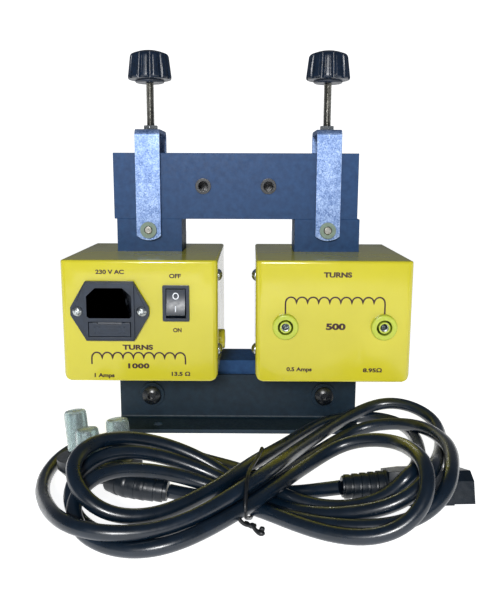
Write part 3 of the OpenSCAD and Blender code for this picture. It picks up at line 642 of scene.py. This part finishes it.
def tube(name, pts, radius, segs=20, cap=True):
    """Mesh tube along points; radius is a number or one per point."""
    pts = [Vector(q) for q in pts]
    n = len(pts)
    rs = radius if isinstance(radius, (list, tuple)) else [radius] * n
    verts, faces = [], []
    d0 = (pts[1] - pts[0]).normalized()
    u = d0.cross(Vector((0, 0, 1)))
    if u.length < 1e-3:
        u = d0.cross(Vector((1, 0, 0)))
    u.normalize()
    for i in range(n):
        d = (pts[min(i + 1, n - 1)] - pts[max(i - 1, 0)]).normalized()
        u = (u - d * u.dot(d)).normalized()
        v = d.cross(u)
        for k in range(segs):
            a = 2 * math.pi * k / segs
            verts.append(tuple(pts[i] + (u * math.cos(a) + v * math.sin(a)) * rs[i]))
    for i in range(n - 1):
        for k in range(segs):
            k2 = (k + 1) % segs
            faces.append((i * segs + k, i * segs + k2, (i + 1) * segs + k2, (i + 1) * segs + k))
    if cap:
        faces.append(tuple(range(segs - 1, -1, -1)))
        faces.append(tuple((n - 1) * segs + k for k in range(segs)))
    return mesh(name, verts, faces)


# plug and connector: soft mouldings with ribbed reliefs
plug = soften("lead_plug", 1.6, MOULD, segs=3, deg=28, shade_deg=50)
connector = soften("lead_connector", 1.1, MOULD, segs=3, deg=28, shade_deg=50)


def ribs(name, line, r0, r1, count, wide, deep):
    """Raised rings along a relief."""
    line = np.array(line, float)
    obs = []
    d = np.r_[0, np.cumsum(np.linalg.norm(np.diff(line, axis=0), axis=1))]
    for i in range(count):
        s0 = d[-1] * (i + 0.5) / count
        ss = [s0 - wide / 2, s0 - wide / 2 + 0.35, s0, s0 + wide / 2 - 0.35, s0 + wide / 2]
        pts = [tuple(np.interp(max(0, min(d[-1], x)), d, line[:, k]) for k in range(3)) for x in ss]
        base = r0 + (r1 - r0) * s0 / d[-1]
        obs.append(tube(name, pts, [base - 0.3, base + deep, base + deep * 1.1, base + deep, base - 0.3], 28))
    return done(join(name, obs), MOULD, "root", (), 50)


ribs("lead_plug_ribs", [(-58, -125.2, 9.2), (-52, -128.6, 8.4), (-43, -130.9, 7.3), (-33.4, -131.9, 6.2)], 7.0, 5.1, 6, 3.9, 0.4)
ribs("lead_connector_ribs", [tuple(CONN_M @ Vector((-23.5, 0, 0))), tuple(CONN_M @ Vector((-4.0, 0, 0)))], 5.1, 6.9, 5, 3.3, 0.4)
collar = tube("lead_connector_shoulder", [tuple(CONN_M @ Vector((x, 0, 0))) for x in (-4.2, -3.6, -2.6, -1.8)], [6.6, 7.4, 7.6, 7.4], 28)
done(collar, MOULD, "root", (), 50)

plug_pins = soften("lead_plug_pins", 0.35, NICKEL)


def sleeves():
    obs = []
    for x, y, ln in ((-14.8, 0, 20), (7.4, 9.5, 15), (7.4, -9.5, 15)):
        top = ln + 1.3
        prof = [(4.95, 0.3), (5.85, 0.3), (6.0, 0.8), (5.85, 4), (5.9, top - 3.5), (5.7, top - 1.2), (5.1, top - 0.25), (4.2, top), (0.0, top),
                (0.0, top - 1.1), (4.2, top - 1.1), (4.75, top - 1.8), (4.9, top - 4), (4.9, 0.5)]
        o = lathe("sleeve", prof + [prof[0]], (0, 0, 0), "z", 36)
        o.data.transform(Matrix.Translation(PLUG_M.translation * MM) @ PLUG_M.to_3x3().to_4x4() @ Matrix.Translation(Vector((x, y, 0)) * MM))
        obs.append(o)
    return done(join("lead_pin_sleeves_made", obs), SLEEVE, "root", ("lead_pin_sleeves",), 45)


sleeve_piece = sleeves()
contacts = soften("lead_connector_contacts", 0.15, NICKEL)


def tie():
    """Wire tie round the crossing, its two twisted ends lying in front."""
    cx, cy = TIE_AT[0], TIE_AT[1]
    sel = fine[(np.abs(fine[:, 0] - cx) < 22) & (np.abs(fine[:, 1] - cy) < 26)]
    ax = Vector((math.cos(math.radians(-8)), math.sin(math.radians(-8)), 0))
    side = Vector((-ax.y, ax.x, 0))
    near = sel[np.abs((sel[:, 0] - cx) * ax.x + (sel[:, 1] - cy) * ax.y) < 2.6]
    s = (near[:, 0] - cx) * side.x + (near[:, 1] - cy) * side.y
    z = near[:, 2]
    r = CORD_R + 0.95
    # outline round all strands: points of their circles that no chord cuts off
    cloud = []
    for a in range(0, 360, 6):
        for q, w in zip(s, z):
            cloud.append((q + r * math.cos(math.radians(a)), max(0.95, w + r * math.sin(math.radians(a)))))
    cloud = sorted(set((round(q, 3), round(w, 3)) for q, w in cloud))

    def turn(o, a, b):
        return (a[0] - o[0]) * (b[1] - o[1]) - (a[1] - o[1]) * (b[0] - o[0])

    hull = []
    for seq in (cloud, cloud[::-1]):
        part = []
        for q in seq:
            while len(part) > 1 and turn(part[-2], part[-1], q) <= 0:
                part.pop()
            part.append(q)
        hull += part[:-1]
    h = np.array(hull + [hull[0]])
    d = np.r_[0, np.cumsum(np.hypot(np.diff(h[:, 0]), np.diff(h[:, 1])))]
    m = 96
    ss = np.linspace(0, d[-1], m, endpoint=False)
    hs, hz = np.interp(ss, d, h[:, 0]), np.interp(ss, d, h[:, 1])
    for _ in range(3):
        hs = 0.25 * np.roll(hs, 1) + 0.5 * hs + 0.25 * np.roll(hs, -1)
        hz = 0.25 * np.roll(hz, 1) + 0.5 * hz + 0.25 * np.roll(hz, -1)
    wob = 0.5 * np.sin(np.linspace(0, 4 * np.pi, m, endpoint=False))
    pts = [tuple(Vector((cx, cy, 0)) + side * float(a) + ax * float(w) + Vector((0, 0, float(b)))) for a, b, w in zip(hs, hz, wob)]
    ring = tube("tie_ring", pts + [pts[0]], 0.9, 12, cap=False)
    k0 = int(np.argmin(hs + 0.25 * hz))
    foot = Vector(pts[k0])
    foot.z = min(foot.z, 7.0)
    end = Vector((foot.x + 7.6, foot.y - 9.0, 7.6))
    ends = []
    for ph, back, up in ((0.0, 0.0, 0.0), (math.pi, -8.5, 6.0)):
        start = foot + ax * back + Vector((0, 0, up))
        line = []
        for i in range(33):
            t = i / 32.0
            b = start.lerp(end, t)
            b.z = start.z * (1 - t) ** 1.6 + end.z * (1 - (1 - t) ** 1.6)
            tw = min(1.0, t * 1.6)
            b += Vector((math.cos(ph + 15 * t), 0.3 * math.sin(ph + 15 * t), math.sin(ph + 15 * t))) * 0.85 * tw
            b.z = max(b.z, 0.95)
            line.append(tuple(b))
        ends.append(tube("tie_end", line, [0.9] * 28 + [0.95, 1.15, 1.25, 1.15, 0.6], 12))
    leg1, leg2 = ends
    return done(join("lead_tie_made", [ring, leg1, leg2]), TIE, "root", ("lead_tie",), 60)


tie_piece = tie()

# ---------------------------------------------------------------- base

for nd in ("bracket_front", "bracket_rear"):
    soften(nd, 0.35, BRACKET)
soften("bracket_bolts", 0.25, BLACK_STEEL)
soften("bracket_washers", 0.2, BRACKET)
soften("bracket_nuts", 0.25, BLACK_STEEL)

# ---------------------------------------------------------------- core: plates stacked along Y


def stack(name, outline, insets, y0, y1, plates, groove=0.07):
    """Plates of one outline (x, z). insets gives, for each corner, the direction that leads into the plate."""
    verts, faces = [], []
    n = len(outline)
    t = (y1 - y0) / plates
    c = min(0.09, t * 0.2)
    rings = []
    for k in range(plates):
        a, b = y0 + k * t, y0 + (k + 1) * t
        for y, d in ((a, groove), (a + c, 0.0), (b - c, 0.0)):
            rings.append((y, d))
    rings.append((y1, groove))
    rings[0] = (y0, 0.12)
    rings[1] = (y0 + 0.12, 0.0)
    rings[-2] = (y1 - 0.12, 0.0)
    rings[-1] = (y1, 0.12)
    for y, d in rings:
        for (x, z), (ix, iz) in zip(outline, insets):
            verts.append((x + ix * d, y, z + iz * d))
    for i in range(len(rings) - 1):
        for k in range(n):
            k2 = (k + 1) % n
            faces.append((i * n + k, i * n + k2, (i + 1) * n + k2, (i + 1) * n + k))
    faces.append(tuple(range(n)))
    faces.append(tuple((len(rings) - 1) * n + k for k in range(n - 1, -1, -1)))
    return mesh(name, verts, faces)


u_out = [(-75, 0), (75, 0), (75, 130), (35, 130), (35, 40), (-35, 40), (-35, 130), (-75, 130)]
u_in = [(1, 1), (-1, 1), (-1, -1), (1, -1), (1, -1), (-1, -1), (-1, -1), (1, -1)]
u_piece = stack("u_core_made", u_out, u_in, -15, 15, 60)
done(u_piece, CORE, "root", ("u_core",), 30)

YX = -1.5
y_out = [(YX - 75, 130), (YX + 75, 130), (YX + 75, 170), (YX - 75, 170)]
y_in = [(1, 1), (-1, 1), (-1, -1), (1, -1)]
yoke_piece = stack("yoke_made", y_out, y_in, -15, 15, 60)
cut(yoke_piece, [lathe("hole", [(0, -20), (4.0, -20), (4.0, 20), (0, 20)], (YX + s * 20, 0, 150), "f", 40) for s in (-1, 1)])
done(yoke_piece, CORE, "yoke", ("yoke",), 30)
soften("yoke_bushes", 0.2, BLACK_STEEL)
soften("pivot_pins", 0.4, DARK_STEEL)
soften("pin_washers", 0.2, NYLON)

# ---------------------------------------------------------------- clamps


def thread(name, x, z0, z1, r, pitch, mat, node):
    """Screw with a real helical thread between z0 and z1."""
    segs = 24
    rows = int((z1 - z0) / (pitch / 6.0))
    verts, faces = [], []
    depth = 0.42 * pitch
    for j in range(rows + 1):
        z = z0 + (z1 - z0) * j / rows
        for k in range(segs):
            a = 2 * math.pi * k / segs
            ph = (z / pitch - k / segs) % 1.0
            tri = abs(2 * ph - 1)
            rr = r - depth * max(0.0, min(1.0, (tri - 0.12) / 0.76))
            e = min(1.0, min(z - z0, z1 - z) / 0.8)
            rr = min(rr, r - 0.6 * (1 - e))
            verts.append((x + rr * math.cos(a), rr * math.sin(a), z))
    for j in range(rows):
        for k in range(segs):
            k2 = (k + 1) % segs
            faces.append((j * segs + k, j * segs + k2, (j + 1) * segs + k2, (j + 1) * segs + k))
    faces.append(tuple(range(segs - 1, -1, -1)))
    faces.append(tuple(rows * segs + k for k in range(segs)))
    tip = lathe("tip", [(0, 177.2), (1.6, 177.2), (1.9, 177.5), (1.9, z0 + 0.3), (0, z0 + 0.3)], (x, 0, 0), "z", 24)
    ob = join(name, [mesh(name, verts, faces), tip])
    return done(ob, mat, BODY[node], (node,), 60)


def knob(side, x):
    """Knob with twelve rounded flutes, a hub below and a shallow dome on top."""
    node = "knob_" + side
    segs, flutes = 288, 12
    prof = [(2.5, 0.0), (8.0, 0.0), (8.6, 0.25), (8.9, 0.8), (8.9, 1.6), (9.3, 1.85), (12.2, 1.85), (12.9, 2.05), (13.35, 2.5), (13.5, 3.1), (13.5, 3.7),
            (13.3, 5.2), (13.05, 7.2), (12.8, 9.2), (12.55, 11.2), (12.3, 13.2), (12.1, 14.8), (11.95, 15.6), (11.6, 16.4), (11.0, 17.0), (10.1, 17.4),
            (9.0, 17.78), (7.0, 18.43), (5.0, 18.91), (3.0, 19.22), (1.2, 19.37), (0.0, 19.4)]
    verts, faces = [], []
    n = len(prof)
    for i in range(segs):
        a = 2 * math.pi * i / segs
        ph = ((math.degrees(a) - 8) % 30.0)
        ph = min(ph, 30 - ph)
        for r, h in prof:
            rr = r
            if h > 1.7 and r > 9.2:
                rc = 14.05 - (h - 3.1) * math.tan(math.radians(7.2))
                da = math.radians(ph)
                # depth of the groove of radius 1.55 at this angle
                q = rc * math.sin(da)
                if q < 1.55:
                    g = rc * math.cos(da) - math.sqrt(1.55 ** 2 - q * q)
                    rr = min(rr, g)
                # crest rounding
                rr -= 0.18 * max(0.0, 1 - abs(ph - 8.2) / 2.6) if rr > r - 0.05 else 0.0
            verts.append((x + rr * math.cos(a), rr * math.sin(a), 212.5 + h))
    for i in range(segs):
        j = (i + 1) % segs
        for k in range(n - 1):
            faces.append((i * n + k, j * n + k, j * n + k + 1, i * n + k + 1))
    verts.append((x, 0, 212.5))
    c = len(verts) - 1
    for i in range(segs):
        faces.append((c, ((i + 1) % segs) * n, i * n))
    ob = mesh("knob_" + side + "_made", verts, faces)
    bm = bmesh.new()
    bm.from_mesh(ob.data)
    bmesh.ops.remove_doubles(bm, verts=bm.verts, dist=2e-6)
    bmesh.ops.recalc_face_normals(bm, faces=bm.faces)
    bm.to_mesh(ob.data)
    bm.free()
    return done(ob, KNOB, BODY[node], (node,), 40)


for side, x in (("left", -55), ("right", 55)):
    soften("stirrup_" + side, 0.3, ZINC, segs=2, deg=40)
    soften("stirrup_nut_" + side, 0.2, NICKEL)
    thread("clamp_screw_" + side + "_made", x, 180.1, 219.5, 2.47, 0.8, DARK_STEEL, "clamp_screw_" + side)
    knob(side, x)
    soften("pressure_pad_" + side, 0.2, DARK_STEEL)

# ---------------------------------------------------------------- coil boxes


def round_block(name, lo, hi, widths):
    """Block whose twelve edges are rounded by their own radii. widths(a, b) gives the radius of the edge between corners a and b."""
    ob = box(name, lo, hi)
    me = ob.data
    big = max(widths(me.vertices[e.vertices[0]].co / MM, me.vertices[e.vertices[1]].co / MM) for e in me.edges)
    at = me.attributes.new("bevel_weight_edge", "FLOAT", "EDGE")
    for e in me.edges:
        w = widths(me.vertices[e.vertices[0]].co / MM, me.vertices[e.vertices[1]].co / MM)
        at.data[e.index].value = w / big
    m = ob.modifiers.new("round", "BEVEL")
    m.width = big * MM
    m.segments = 8
    m.limit_method = "WEIGHT"
    m.use_clamp_overlap = True
    return bake(ob)


def edge_radii(y0, y1, z0, z1, front, low, top, back, lip, shrink=0.0):
    def radius(a, b):
        vertical = abs(a.z - b.z) > 1
        if vertical:
            r = front if a.y < (y0 + y1) / 2 else back
        elif abs(a.x - b.x) > 1:
            bottom = a.z < (z0 + z1) / 2
            r = (lip if bottom else top) if a.y < (y0 + y1) / 2 else back
        else:
            r = low if a.z < (z0 + z1) / 2 else top
        return max(0.3, r - shrink)

    return radius


def cover(side, cx, inner):
    node = side + "_cover"
    hw, y0, y1, z0, z1 = 44.25, -62.0, 34.0, 40.0, 110.0
    outer = round_block(node + "_made", (cx - hw, y0, z0), (cx + hw, y1, z1), edge_radii(y0, y1, z0, z1, 3.4, 5.0, 1.6, 1.0, 1.3))
    w = 2.5
    hollow = round_block("hollow", (cx - hw + w, y0 + w, z0 + w), (cx + hw - w, y1 + 6, z1 - w), edge_radii(y0, y1, z0, z1, 3.4, 5.0, 1.6, 0.3, 1.3, 1.2))
    cut(outer, [hollow])
    tools = [box("limb", (cx - 20.5, -15.5, 20), (cx + 20.5, 15.5, 140))]
    for z in (56.5, 100.3):
        tools.append(lathe("hole", [(0, 38), (1.9, 38), (1.9, 50), (0, 50)], (cx, -50, z), "x" if inner > 0 else "-x", 24))
    if side == "primary":
        tools.append(box("c1", (-85.3, -64, 65.7), (-57.3, -58, 96.9)))
        tools.append(box("c2", (-40.7, -64, 76.3), (-27.5, -58, 95.3)))
    else:
        for x in (27.6, 83.2):
            tools.append(lathe("hole", [(0, 56), (5.6, 56), (5.6, 66), (0, 66)], (x, 0, 72.6), "f", 32))
    cut(outer, [join("tools", tools)])
    posts = []
    for x in (-38.2, 38.2):
        for z in (46.2, 103.8):
            posts.append(box("post", (cx + x - 3.5, 18, z - 3.6), (cx + x + 3.5, 31.3, z + 3.6)))
    post = join(node + "_posts", posts)
    bevel(post, 0.6)
    done(post, YELLOW, BODY[node], (), 38)
    return done(outer, YELLOW, BODY[node], (node,), 28)


cover("primary", -55, 1)
cover("secondary", 55, -1)
lug = lathe("primary_lug", [(0, -0.4), (6.0, -0.4), (6.0, 2.3), (5.8, 2.75), (5.3, 3.1), (4.6, 3.2), (2.2, 3.2), (1.9, 3.0), (1.7, 2.4), (0, 2.4)], (-10.75, -33, 58.5), "x", 36)
done(lug, YELLOW, "coil_primary", (), 35)

for side in ("primary", "secondary"):
    cx = -55 if side == "primary" else 55
    ax = "x" if side == "primary" else "-x"
    soften(side + "_back_plate", 0.5, YELLOW)
    tools = []
    for x in (-38.2, 38.2):
        for z in (46.2, 103.8):
            tools += plus((cx + x, 33.6, z), "b", 1.5, 1.7, 1.0)
    soften(side + "_back_screws", 0.12, ZINC, tools=tools)
    tools = []
    for z in (56.5, 100.3):
        tools += plus((cx + (44.25 if side == "primary" else -44.25), -50, z), ax, 2.4, 1.9, 1.4)
    soften(side + "_side_screws", 0.15, NICKEL, tools=tools)
    soften(side + "_bobbin", 0.3, BOBBIN)


def winding(side, cx):
    """Layer of round wire, wound evenly on the bobbin."""
    node = side + "_winding"
    wire = 1.0 if side == "primary" else 1.35
    turns = int(60.4 / wire)
    per = 6
    out = []
    for qx, qy, a0 in ((1, 1, 0), (-1, 1, 90), (-1, -1, 180), (1, -1, 270)):
        for k in range(7):
            a = math.radians(a0 + 15 * k)
            out.append((qx * 24 + 8 * math.cos(a), qy * 21 + 8 * math.sin(a)))
    verts, faces = [], []
    n = len(out)
    rows = turns * per
    for j in range(rows + 1):
        z = 44.8 + 60.4 * j / rows
        d = 0.32 * wire * (1 - abs(math.cos(math.pi * j / per)))
        for x, y in out:
            l = math.hypot(x, y)
            k = 1 - (0.32 * wire - d) / l
            verts.append((cx + x * k, y * k, z))
    for j in range(rows):
        for k in range(n):
            k2 = (k + 1) % n
            faces.append((j * n + k, j * n + k2, (j + 1) * n + k2, (j + 1) * n + k))
    base = len(verts)
    core = [(-22.3, -17.3), (22.3, -17.3), (22.3, 17.3), (-22.3, 17.3)]
    for z in (44.8, 105.2):
        for x, y in core:
            verts.append((cx + x, y, z))
    ob = mesh(node + "_made", verts[:base], faces + [tuple(range(n - 1, -1, -1)), tuple(rows * n + k for k in range(n))])
    cut(ob, [box("core", (cx - 22.4, -17.4, 30), (cx + 22.4, 17.4, 120))])
    return done(ob, COPPER, BODY[node], (node,), 50)


winding("primary", -55)
winding("secondary", 55)

# ---------------------------------------------------------------- inlet, fuse, switch

IX, IZ = -71.3, 81.3
soften("inlet_housing", 0.3, BLACK_PLASTIC)
soften("inlet_pins", 0.3, NICKEL)
tools = []
for s in (-18, 18):
    tools += plus((IX + s, -64.6, IZ), "f", 1.5, 1.9, 1.2)
soften("inlet_screws", 0.12, NICKEL, tools=tools)
soften("inlet_nuts", 0.15, NICKEL)
soften("fuse_drawer", 0.3, BLACK_PLASTIC)
soften("switch_frame", 0.3, BLACK_PLASTIC)
soften("switch_rocker", 0.35, ROCKER)
soften("switch_terminals", 0.12, NICKEL)
fl = frame["nodes"]["fuse_link"]
soften("fuse_link", 0.15, NICKEL)

# sign of a fuse link on the drawer: two caps joined by lines
fz, fy = 70.9, -65.8
bars = []
for x0, x1, z0, z1 in ((-8.4, -5.6, -1.9, -1.4), (-8.4, -5.6, 1.4, 1.9), (-8.4, -7.9, -1.9, 1.9), (-6.1, -5.6, -1.9, 1.9),
                       (5.6, 8.4, -1.9, -1.4), (5.6, 8.4, 1.4, 1.9), (7.9, 8.4, -1.9, 1.9), (5.6, 6.1, -1.9, 1.9),
                       (-5.6, 5.6, -1.3, -0.95), (-5.6, 5.6, 0.95, 1.3)):
    bars.append(box("bar", (IX + x0, fy - 0.16, fz + z0), (IX + x1, fy + 0.05, fz + z1)))
done(join("fuse_sign", bars), RELIEF, "fuse_drawer", (), 30)


def rocker_mark(name, kind):
    """Ring on the upper half and bar on the lower half of the rocker, on its own faces."""
    c12, s12 = math.cos(math.radians(12)), math.sin(math.radians(12))
    if kind == "ring":
        at, nrm, up = (-3.84, 3.6), (-0.978, -0.208), (-0.208, 0.978)
        pts = [[(r * math.cos(a), r * 1.12 * math.sin(a)) for a in np.linspace(0, 2 * math.pi, 33)[:-1]] for r in (1.75, 1.25)]
    else:
        at, nrm, up = (-3.84, -3.6), (-0.978, 0.208), (0.208, 0.978)
        pts = None
    verts, faces = [], []

    def put(u, v, h):
        y = at[0] + up[0] * v + nrm[0] * h
        z = at[1] + up[1] * v + nrm[1] * h
        return (-34.1 + u, -61 + y * c12 + z * s12, 85.8 - y * s12 + z * c12)

    if pts:
        n = len(pts[0])
        for ring in pts:
            for h in (0.05, -0.1):
                for u, v in ring:
                    verts.append(put(u, v, h))
        o1, o0, i1, i0 = 0, n, 2 * n, 3 * n
        for k in range(n):
            k2 = (k + 1) % n
            faces += [(o1 + k, o1 + k2, i1 + k2, i1 + k), (o0 + k, o0 + k2, o1 + k2, o1 + k), (i1 + k, i1 + k2, i0 + k2, i0 + k), (i0 + k, i0 + k2, o0 + k2, o0 + k)]
    else:
        for h in (0.05, -0.1):
            for u, v in ((-0.3, -1.7), (0.3, -1.7), (0.3, 1.7), (-0.3, 1.7)):
                verts.append(put(u, v, h))
        faces = [(0, 1, 2, 3), (7, 6, 5, 4), (0, 4, 5, 1), (1, 5, 6, 2), (2, 6, 7, 3), (3, 7, 4, 0)]
    return done(mesh(name, verts, faces), WHITE_INK, "switch_rocker", (), 30)


rocker_mark("rocker_mark_off", "ring")
rocker_mark("rocker_mark_on", "bar")

# ---------------------------------------------------------------- sockets

soften("socket_bushes", 0.3, SOCKET)
soften("socket_contacts", 0.2, NICKEL)
soften("socket_nuts", 0.3, NICKEL)

# ---------------------------------------------------------------- printing on the boxes


def text_mesh(name, body_text, offset=0.0, spacing=1.0):
    c = bpy.data.curves.new(name, "FONT")
    c.body = body_text
    c.size = 1.0
    c.offset = offset
    c.extrude = 0.02
    c.space_character = spacing
    c.align_x = "CENTER"
    o = link(bpy.data.objects.new(name, c))
    bpy.context.view_layer.update()
    dg = bpy.context.evaluated_depsgraph_get()
    me = bpy.data.meshes.new_from_object(o.evaluated_get(dg), depsgraph=dg)
    bpy.data.objects.remove(o)
    return me


def label(name, words, x, z, cap, width, body, offset=0.02, spacing=1.0, mat=None):
    """Generic wording centred at (x, z) on the front, capitals cap high and the whole width wide."""
    ref = text_mesh("ref", "H", offset)
    ys = [v.co.y for v in ref.vertices]
    h, base = max(ys) - min(ys), min(ys)
    me = text_mesh(name, words, offset, spacing)
    xs = [v.co.x for v in me.vertices]
    mx, w = (max(xs) + min(xs)) / 2, max(xs) - min(xs)
    k = cap / h
    kx = width / w if width else k
    for v in me.vertices:
        tx, ty, tz = v.co
        v.co = ((x + (tx - mx) * kx) * MM, (-62.0 - 0.03 - tz * 1.5) * MM, (z + (ty - base) * k - cap / 2) * MM)
    ob = link(bpy.data.objects.new(name, me))
    return done(ob, mat or INK, body, (), 30)


def coil_sign(name, x0, x1, top, cusp, leg, body, humps=9, line=0.46):
    """Row of humps with a leg at each end: the sign of a winding."""
    w = (x1 - x0) / humps
    pts = [(x0, leg), (x0, cusp)]
    for i in range(humps):
        for k in range(1, 13):
            a = math.pi * (1 - k / 12.0)
            pts.append((x0 + w * (i + 0.5) + 0.5 * w * math.cos(a), cusp + (top - cusp) * math.sin(a) ** 0.8))
    pts.append((x1, leg))
    c = bpy.data.curves.new(name, "CURVE")
    c.dimensions = "3D"
    s = c.splines.new("POLY")
    s.points.add(len(pts) - 1)
    for i, (px, pz) in enumerate(pts):
        s.points[i].co = (px * MM, 0, pz * MM, 1)
    c.bevel_depth = line * MM
    c.bevel_resolution = 2
    c.use_fill_caps = True
    o = link(bpy.data.objects.new(name, c))
    bake_me = None
    bpy.context.view_layer.update()
    dg = bpy.context.evaluated_depsgraph_get()
    bake_me = bpy.data.meshes.new_from_object(o.evaluated_get(dg), depsgraph=dg)
    bpy.data.objects.remove(o)
    for v in bake_me.vertices:
        v.co.y = (-62.0 * MM) + v.co.y * 0.14 - 0.00001
    ob = link(bpy.data.objects.new(name, bake_me))
    return done(ob, INK, body, (), 60)


P, S = "coil_primary", "coil_secondary"
label("mark_supply", "230 V AC", -71.1, 103.4, 2.5, 16.0, P, 0.04)
label("mark_off", "OFF", -34.5, 101.2, 2.5, 6.6, P, 0.04)
label("mark_on", "ON", -33.6, 70.2, 2.5, 4.8, P, 0.04)
label("mark_turns_left", "TURNS", -56.3, 60.1, 3.0, 17.4, P, 0.048)
coil_sign("mark_coil_left", -82.8, -29.2, 57.0, 53.0, 50.1, P)
label("mark_number_left", "1000", -56.0, 49.1, 3.0, 12.2, P, 0.052, 1.1)
label("mark_amps_left", "1 Amps", -75.8, 43.5, 2.4, 11.5, P, 0.042)
label("mark_ohms_left", "13.5 Ω", -31.9, 44.5, 2.4, 10.7, P, 0.042)
label("mark_turns_right", "TURNS", 56.6, 102.2, 3.0, 15.8, S, 0.048)
coil_sign("mark_coil_right", 27.5, 83.5, 89.5, 85.5, 80.0, S)
label("mark_number_right", "500", 56.1, 72.6, 3.8, 11.2, S, 0.052)
label("mark_amps_right", "0.5 Amps", 35.8, 47.6, 2.4, 14.5, S, 0.042)
label("mark_ohms_right", "8.95Ω", 77.7, 47.2, 2.4, 10.9, S, 0.042)

# ---------------------------------------------------------------- any node left gets its finish

FINISH = {
    "yellow_plastic": YELLOW, "core_paint": CORE, "bracket_paint": BRACKET, "black_steel": BLACK_STEEL, "zinc": ZINC,
    "dark_steel": DARK_STEEL, "nickel": NICKEL, "copper": COPPER, "nylon": NYLON, "black_plastic": BLACK_PLASTIC,
    "knob_plastic": KNOB, "socket_plastic": SOCKET, "clear_sleeve": SLEEVE, "fuse_glass": GLASS, "lead_pvc": PVC, "tie_plastic": TIE,
}
for nd, ob in frame["nodes"].items():
    ob.data.materials.clear()
    ob.data.materials.append(FINISH[SLOT[nd]])

# ---------------------------------------------------------------- studio

FLOOR_R = 1500.0
ring = [(FLOOR_R * math.cos(2 * math.pi * k / 96), FLOOR_R * math.sin(2 * math.pi * k / 96)) for k in range(96)]
floor = mesh("floor", [(x, y, 0) for x, y in ring], [tuple(range(96))])
fm, fnt, fb, ftc = mat_new("floor")
fn = noise(fnt, ftc, 3.0)
fc = ramp(fnt, fn, [(0.3, (0.80, 0.81, 0.82, 1)), (0.7, (0.83, 0.84, 0.85, 1))])
fnt.links.new(fc.outputs["Color"], fb.inputs["Base Color"])
fb.inputs["Roughness"].default_value = 0.9
fb.inputs["Specular IOR Level"].default_value = 0.1
fb.inputs["Emission Color"].default_value = (1, 1, 1, 1)
fb.inputs["Emission Strength"].default_value = 0.9
floor.data.materials.append(fm)
floor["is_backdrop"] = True

world = bpy.data.worlds.new("studio")
scene.world = world
world.use_nodes = True
wn = world.node_tree
bg = wn.nodes["Background"]
wtc = wn.nodes.new("ShaderNodeTexCoord")
sep = wn.nodes.new("ShaderNodeSeparateXYZ")
wn.links.new(wtc.outputs["Generated"], sep.inputs["Vector"])
mr = wn.nodes.new("ShaderNodeMapRange")
mr.inputs["From Min"].default_value = -1.0
mr.inputs["From Max"].default_value = 1.0
wn.links.new(sep.outputs["Z"], mr.inputs["Value"])
wr = wn.nodes.new("ShaderNodeValToRGB")
we = wr.color_ramp.elements
we[0].position, we[0].color = 0.0, (0.50, 0.50, 0.50, 1)
we[1].position, we[1].color = 1.0, (0.10, 0.11, 0.13, 1)
e = we.new(0.5)
e.color = (0.15, 0.16, 0.18, 1)
e = we.new(0.70)
e.color = (0.12, 0.13, 0.15, 1)
wn.links.new(mr.outputs["Result"], wr.inputs["Fac"])
wn.links.new(wr.outputs["Color"], bg.inputs["Color"])
bg.inputs["Strength"].default_value = 1.0
card = wn.nodes.new("ShaderNodeBackground")
card.inputs["Color"].default_value = (1.2, 1.2, 1.2, 1)
lp = wn.nodes.new("ShaderNodeLightPath")
ms = wn.nodes.new("ShaderNodeMixShader")
wn.links.new(lp.outputs["Is Camera Ray"], ms.inputs["Fac"])
wn.links.new(bg.outputs["Background"], ms.inputs[1])
wn.links.new(card.outputs["Background"], ms.inputs[2])
wn.links.new(ms.outputs["Shader"], wn.nodes["World Output"].inputs["Surface"])


def area(name, at, aim, size, power, colour=(1, 1, 1)):
    l = bpy.data.lights.new(name, "AREA")
    l.shape = "RECTANGLE"
    l.size, l.size_y = size
    l.energy = power
    l.color = colour
    o = link(bpy.data.objects.new(name, l))
    d = Vector(aim) - Vector(at)
    o.matrix_world = Matrix.Translation(Vector(at)) @ d.to_track_quat("-Z", "Y").to_matrix().to_4x4()
    o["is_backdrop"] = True
    return o


area("front_light", (-0.10, -1.30, 0.50), (0.0, 0.0, 0.09), (0.26, 0.20), 13.0)

scene.view_settings.view_transform = "Standard"
scene.view_settings.look = "None"

end_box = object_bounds()


def plain(b):
    return [[float(x) for x in v] if hasattr(v, "__len__") else float(v) for v in b]


{"cad": plain(start_box), "visual": plain(end_box)}
